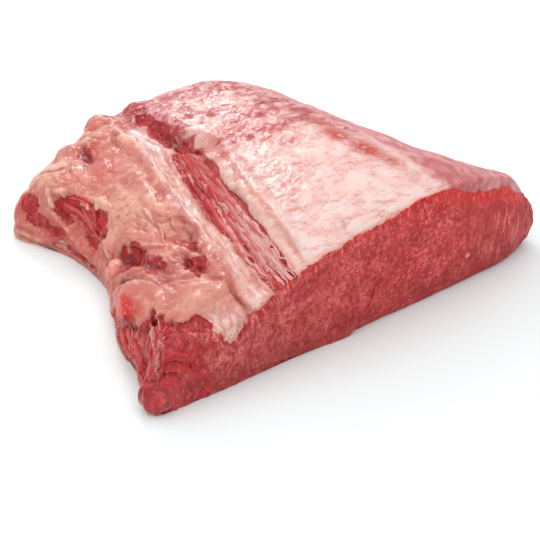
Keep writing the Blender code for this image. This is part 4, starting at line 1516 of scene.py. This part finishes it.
def laid_strands(tree, seed, lift, guide, count, width, thick, length, sway, tint=(0, 0)):
    """Strands that run side by side along a guide on the skin. Their places, lengths, widths and
    tints are drawn from ranges. Smooth noise 22 mm wide makes neighbours sway together, and
    noise 7 mm wide swells each strand along its way. Each is lifted by a share of its thickness
    and thins towards its ends."""
    rng = np.random.default_rng(seed)
    line = np.array(guide) * np.array([*SIZE, 1]) + np.array([*LOW, 0])
    line = smooth_line(line, GUIDE_STEPS)
    half = line[:, 3]
    centre, up = landed(tree, line[:, :3])
    side = np.cross(np.gradient(centre, axis=0), up)
    side = side / np.linalg.norm(side, axis=1)[:, None]
    reach = rng.uniform(*length, count)
    start = rng.uniform(0, 1, count) * (1 - reach)
    share = start[:, None] + reach[:, None] * np.linspace(0, 1, STRAND_STEPS)
    own = rng.uniform(-1, 1, count)[:, None] + np.zeros_like(share)
    total = np.linalg.norm(np.diff(centre, axis=0), axis=1).sum()
    field = np.stack([share * total, own * half.mean(), np.zeros_like(share)], axis=-1)
    field = field.reshape(-1, 3)
    own = own + sway * waves(field, 22 * MM, seed + 1, 2).reshape(share.shape)
    knots = np.linspace(0, 1, len(line))
    here = np.stack([np.interp(share, knots, column) for column in centre.T], axis=-1)
    aside = np.stack([np.interp(share, knots, column * half) for column in side.T], axis=-1)
    paths, ups = landed(tree, here + own[..., None] * aside)
    taper = np.sin(np.pi * np.linspace(0.03, 0.97, STRAND_STEPS)) ** 0.5
    # read far off, where it is a noise of its own
    swelling = 1 + 0.25 * waves(field + 7, 7 * MM, seed + 2).reshape(share.shape)
    widths = rng.uniform(*width, count)[:, None] * taper * swelling
    thicks = rng.uniform(*thick, count)[:, None] * taper * swelling
    points = carried(paths + ups * (lift * thicks)[..., None], ups, widths, thicks)
    points[..., 2] = np.maximum(points[..., 2], 0)
    tints = np.repeat(rng.uniform(*tint, count), points.shape[1])
    return points.reshape(-1, 3), closed_tubes(STRAND_STEPS, STRAND_SIDES, count), tints


def joined(groups):
    """Several sets of points, faces and one number a point, as one."""
    points, faces, values = zip(*groups)
    starts = np.cumsum([0] + [len(part) for part in points])
    faces = [part + start for parts, start in zip(faces, starts) for part in parts]
    return np.vstack(points), faces, np.concatenate(values)


# Bundles of torn fibre: the guide (shares of the box, and half the bundle's width in metres),
# how many strands, their half widths and half thicknesses in metres, their lengths as shares of
# the guide, how far they sway, and their tints from deep red to pale.
SEAM_GUIDE = (
    (0.298, 0.004, 0.70, 0.0084),
    (0.312, 0.080, 0.70, 0.0090),
    (0.328, 0.180, 0.72, 0.0090),
    (0.346, 0.290, 0.74, 0.0092),
    (0.364, 0.390, 0.76, 0.0086),
    (0.386, 0.480, 0.78, 0.0072),
    (0.400, 0.560, 0.78, 0.0050),
)
FOLD_GUIDE = (
    (0.428, 0.730, 0.76, 0.002),
    (0.417, 0.640, 0.74, 0.004),
    (0.416, 0.560, 0.75, 0.002),
)
UNDER_SMALL_LOBE = (
    (0.064, 0.215, 0.26, 0.008),
    (0.048, 0.175, 0.20, 0.010),
    (0.034, 0.120, 0.16, 0.009),
    (0.018, 0.070, 0.12, 0.006),
)
BETWEEN_THE_LOBES = (
    (0.092, 0.130, 0.50, 0.004),
    (0.074, 0.084, 0.44, 0.007),
    (0.054, 0.052, 0.36, 0.008),
    (0.036, 0.036, 0.26, 0.007),
)
UNDER_BIG_LOBE = (
    (0.120, 0.040, 0.48, 0.007),
    (0.105, 0.022, 0.42, 0.009),
    (0.092, 0.014, 0.33, 0.009),
    (0.080, 0.012, 0.24, 0.006),
)
OVER_THE_KNOB = (
    (0.050, 0.034, 0.38, 0.003),
    (0.072, 0.024, 0.385, 0.005),
    (0.092, 0.015, 0.330, 0.005),
    (0.098, 0.011, 0.25, 0.003),
)
LEFT_WALL_PATCH = (
    (0.176, 0.685, 0.44, 0.005),
    (0.180, 0.630, 0.41, 0.010),
    (0.182, 0.575, 0.38, 0.012),
    (0.172, 0.525, 0.31, 0.007),
)
ACROSS_LEFT_POCKET = (
    (0.178, 0.400, 0.50, 0.003),
    (0.166, 0.350, 0.45, 0.006),
    (0.158, 0.300, 0.46, 0.003),
)
FIBRE_BUNDLES = (
    (SEAM_GUIDE, 17, (0.0013, 0.0027), (0.0007, 0.0012), (0.7, 1.0), 0.14, (-0.05, 0.76)),
    (SEAM_GUIDE, 32, (0.0006, 0.0013), (0.0006, 0.0010), (0.25, 0.7), 0.14, (0.1, 0.95)),
    (FOLD_GUIDE, 6, (0.0006, 0.001), (0.0005, 0.001), (0.5, 1.0), 0.3, (0.0, 0.4)),
    (UNDER_SMALL_LOBE, 14, (0.0010, 0.0022), (0.0008, 0.0015), (0.4, 0.9), 0.3, (0.0, 0.7)),
    (BETWEEN_THE_LOBES, 13, (0.0008, 0.0016), (0.0007, 0.0013), (0.4, 1.0), 0.3, (0.0, 0.8)),
    (UNDER_BIG_LOBE, 6, (0.0012, 0.0024), (0.0006, 0.0009), (0.3, 0.8), 0.2, (0.1, 0.6)),
    (OVER_THE_KNOB, 6, (0.0012, 0.0024), (0.0009, 0.0014), (0.6, 1.0), 0.15, (0.2, 0.5)),
    (LEFT_WALL_PATCH, 18, (0.0010, 0.0022), (0.0007, 0.0013), (0.35, 0.9), 0.2, (0.2, 0.85)),
    (ACROSS_LEFT_POCKET, 5, (0.0005, 0.0010), (0.0005, 0.0010), (0.7, 1.0), 0.4, (0.0, 0.6)),
)
# Bundles of pale film, alike but without tints.
FILM_IN_THE_GAP = (
    (0.095, 0.140, 0.50, 0.002),
    (0.072, 0.080, 0.45, 0.003),
    (0.050, 0.046, 0.36, 0.004),
    (0.030, 0.034, 0.24, 0.003),
)
TORN_END_MEMBRANE = (
    (0.086, 0.142, 0.45, 0.002),
    (0.072, 0.108, 0.42, 0.003),
    (0.059, 0.080, 0.41, 0.0035),
    (0.045, 0.053, 0.37, 0.0035),
    (0.036, 0.045, 0.30, 0.002),
)
FILM_UNDER_SMALL_LOBE = (
    (0.064, 0.205, 0.28, 0.006),
    (0.050, 0.170, 0.23, 0.008),
    (0.034, 0.100, 0.20, 0.006),
)
FILM_BUNDLES = (
    (SEAM_GUIDE, 14, (0.0004, 0.0009), (0.0005, 0.0009), (0.2, 0.6), 0.14),
    (FILM_IN_THE_GAP, 5, (0.0003, 0.0007), (0.0005, 0.0009), (0.6, 1.0), 0.4),
    (TORN_END_MEMBRANE, 6, (0.0008, 0.0018), (0.0004, 0.0007), (0.6, 1.0), 0.2),
    (FILM_UNDER_SMALL_LOBE, 5, (0.0003, 0.0006), (0.0004, 0.0008), (0.3, 0.8), 0.4),
)
# How much paler the strands of the seam are where they come out at the cut edge, most of all
# along the seam's right side.
PALER_AT_THE_CUT = 0.48
PALER_ON_THE_RIGHT = 0.5


def make_strands(tree, name, bundles, material, seed, lift):
    """One piece of every strand of the bundles."""
    groups = [laid_strands(tree, seed + 10 * k, lift, *bundle) for k, bundle in enumerate(bundles)]
    points, faces, tint = joined(groups)
    x, y, z = ((points - LOW) / SIZE).T
    on_the_right = ramp(beside(points[:, :2] - LOW[:2], SEAM_RIGHT), -6 * MM, -2 * MM)
    paler = PALER_AT_THE_CUT * ramp(y, 0.38, 0.10)
    paler = paler + PALER_ON_THE_RIGHT * on_the_right * ramp(y, 0.22, 0.10)
    tint = tint + paler * ramp(z, 0.5, 0.6)
    return mesh_piece(name, points, faces, material, {"tint": tint})


# Lobes and nodules of fat: centre as shares of the box, half sizes in metres along the long
# way, across it and out of the skin, the long way on X, Y and Z, how deep the centre sits in
# metres, and the tint from cream through salmon to red.
BLOBS = (
    # round nodules at the foot of the left fat
    ((0.160, 0.455, 0.38), (0.0090, 0.0070, 0.0070), (0.10, -0.50, -0.8), 0.0045, 0.30),
    ((0.147, 0.415, 0.34), (0.0080, 0.0060, 0.0060), (0.10, -0.70, -0.5), 0.0040, 0.25),
    ((0.138, 0.370, 0.36), (0.0065, 0.0055, 0.0055), (0.10, -0.80, -0.3), 0.0034, 0.45),
    ((0.152, 0.430, 0.26), (0.0065, 0.0050, 0.0050), (0.10, -0.80, -0.2), 0.0034, 0.55),
    # orange nodules at the back of the left side
    ((0.350, 0.895, 0.590), (0.0085, 0.0062, 0.0055), (0.90, -0.30, 0.1), 0.0026, 0.72),
    ((0.322, 0.865, 0.580), (0.0065, 0.0050, 0.0045), (0.70, 0.50, 0.1), 0.0022, 0.55),
    ((0.308, 0.815, 0.610), (0.0055, 0.0045, 0.0040), (0.30, 0.80, 0.1), 0.0022, 0.25),
)
# A warm spot on them, as centre, half sizes in metres and strength.
GLOWS = (
    ((0.350, 0.895, 0.590), (0.0100, 0.0100, 0.0080), 0.5),
)


BALL_ROWS = 26
BALL_COLUMNS = 40
BALL_SEED = 400


def rounded(tree, blobs):
    """Closed lobes: points of a ball at even latitudes and longitudes, stretched to each lobe's
    half sizes in its own frame on the skin, and swollen here and there by smooth noise."""
    table = [np.array([blob[k] for blob in blobs], float) for k in range(5)]
    centres, halves, ways, sinks, tints = table
    centres, out = landed(tree, LOW + centres * SIZE)
    across = np.cross(out, ways)
    across = across / np.linalg.norm(across, axis=1)[:, None]
    way = np.cross(across, out)
    tilt = np.linspace(0, np.pi, BALL_ROWS + 1)[1:-1][:, None]
    turn = (np.arange(BALL_COLUMNS) * 2 * np.pi / BALL_COLUMNS)[None]
    ball = [np.sin(tilt) * np.cos(turn), np.sin(tilt) * np.sin(turn), np.cos(tilt) + 0 * turn]
    ball = np.stack(ball, axis=-1).reshape(-1, 3)
    ball = np.vstack([ball, [[0, 0, 1]], [[0, 0, -1]]])
    frames = np.stack([way, across, out], axis=1)
    places = (ball[None] * halves[:, None]) @ frames
    world = (places + centres[:, None]).reshape(-1, 3)
    bulge = 1 + 0.20 * waves(world, 12 * MM, BALL_SEED, 3).reshape(len(blobs), -1, 1)
    points = centres[:, None] + places * bulge - (out * sinks[:, None])[:, None]
    points = points.reshape(-1, 3)
    points[:, 2] = np.maximum(points[:, 2], 0)
    faces = closed_tubes(BALL_ROWS - 1, BALL_COLUMNS, len(blobs))
    return points, faces, np.repeat(tints, len(ball))


def make_blobs(tree):
    """One piece of every lobe and nodule of fat."""
    points, faces, tint = rounded(tree, BLOBS)
    glow = np.clip(patches(points, GLOWS), 0, 1)
    fields = {"tint": tint, "glow": glow}
    return mesh_piece("fat_lobes", points, faces, fat_material(), fields)


# ---------------------------------------------------------------- stage


def stage():
    """A plain white floor, a white surround, a large softbox above, two small windows behind and
    one in front, and the camera."""
    scene = bpy.context.scene
    corners = 4.0 * np.array([(-1, -1, 0), (1, -1, 0), (1, 1, 0), (-1, 1, 0)])
    floor = mesh_piece("floor", corners, [np.array([[0, 1, 2, 3]])], floor_material())
    world = bpy.data.worlds.new("white_surround")
    scene.world = world
    world.use_nodes = True
    background = world.node_tree.nodes["Background"]
    background.inputs["Color"].default_value = (1, 1, 1, 1)
    background.inputs["Strength"].default_value = 0.76
    for name, place, size, power in (
        ("softbox_above", (-0.10, 0.10, 1.40), 1.8, 11.0),
        ("window_behind", (0.32, 0.87, 0.85), 0.30, 3.9),
        ("window_low", (0.50, 1.10, 0.42), 0.16, 1.1),
        ("window_front", (-0.80, -0.74, 0.66), 0.11, 1.5),
    ):
        light = bpy.data.lights.new(name, "AREA")
        light.energy = power
        light.size = size
        lamp = bpy.data.objects.new(name, light)
        lamp.location = place
        lamp.rotation_euler = (-Vector(place)).to_track_quat("-Z", "Y").to_euler()
        scene.collection.objects.link(lamp)
    camera = bpy.data.objects.new("camera", bpy.data.cameras.new("camera"))
    camera.location = (-0.45575, -0.66296, 0.48779)
    aim = Vector((-0.01016, -0.05828, 0)) - camera.location
    camera.rotation_euler = aim.to_track_quat("-Z", "Y").to_euler()
    camera.data.lens = 85
    camera.data.sensor_width = 36
    scene.collection.objects.link(camera)
    scene.camera = camera
    scene.view_settings.view_transform = "Standard"


skin_pieces, skin_tree = make_skin(beef_material())
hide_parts("brisket")
pieces = (
    *skin_pieces,
    make_strands(skin_tree, "muscle_strands", FIBRE_BUNDLES, fibre_material(), 700, 0.2),
    make_strands(skin_tree, "film_strips", FILM_BUNDLES, film_material(), 900, 0.6),
    make_blobs(skin_tree),
)
for piece in pieces:
    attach(piece, "root")
stage()
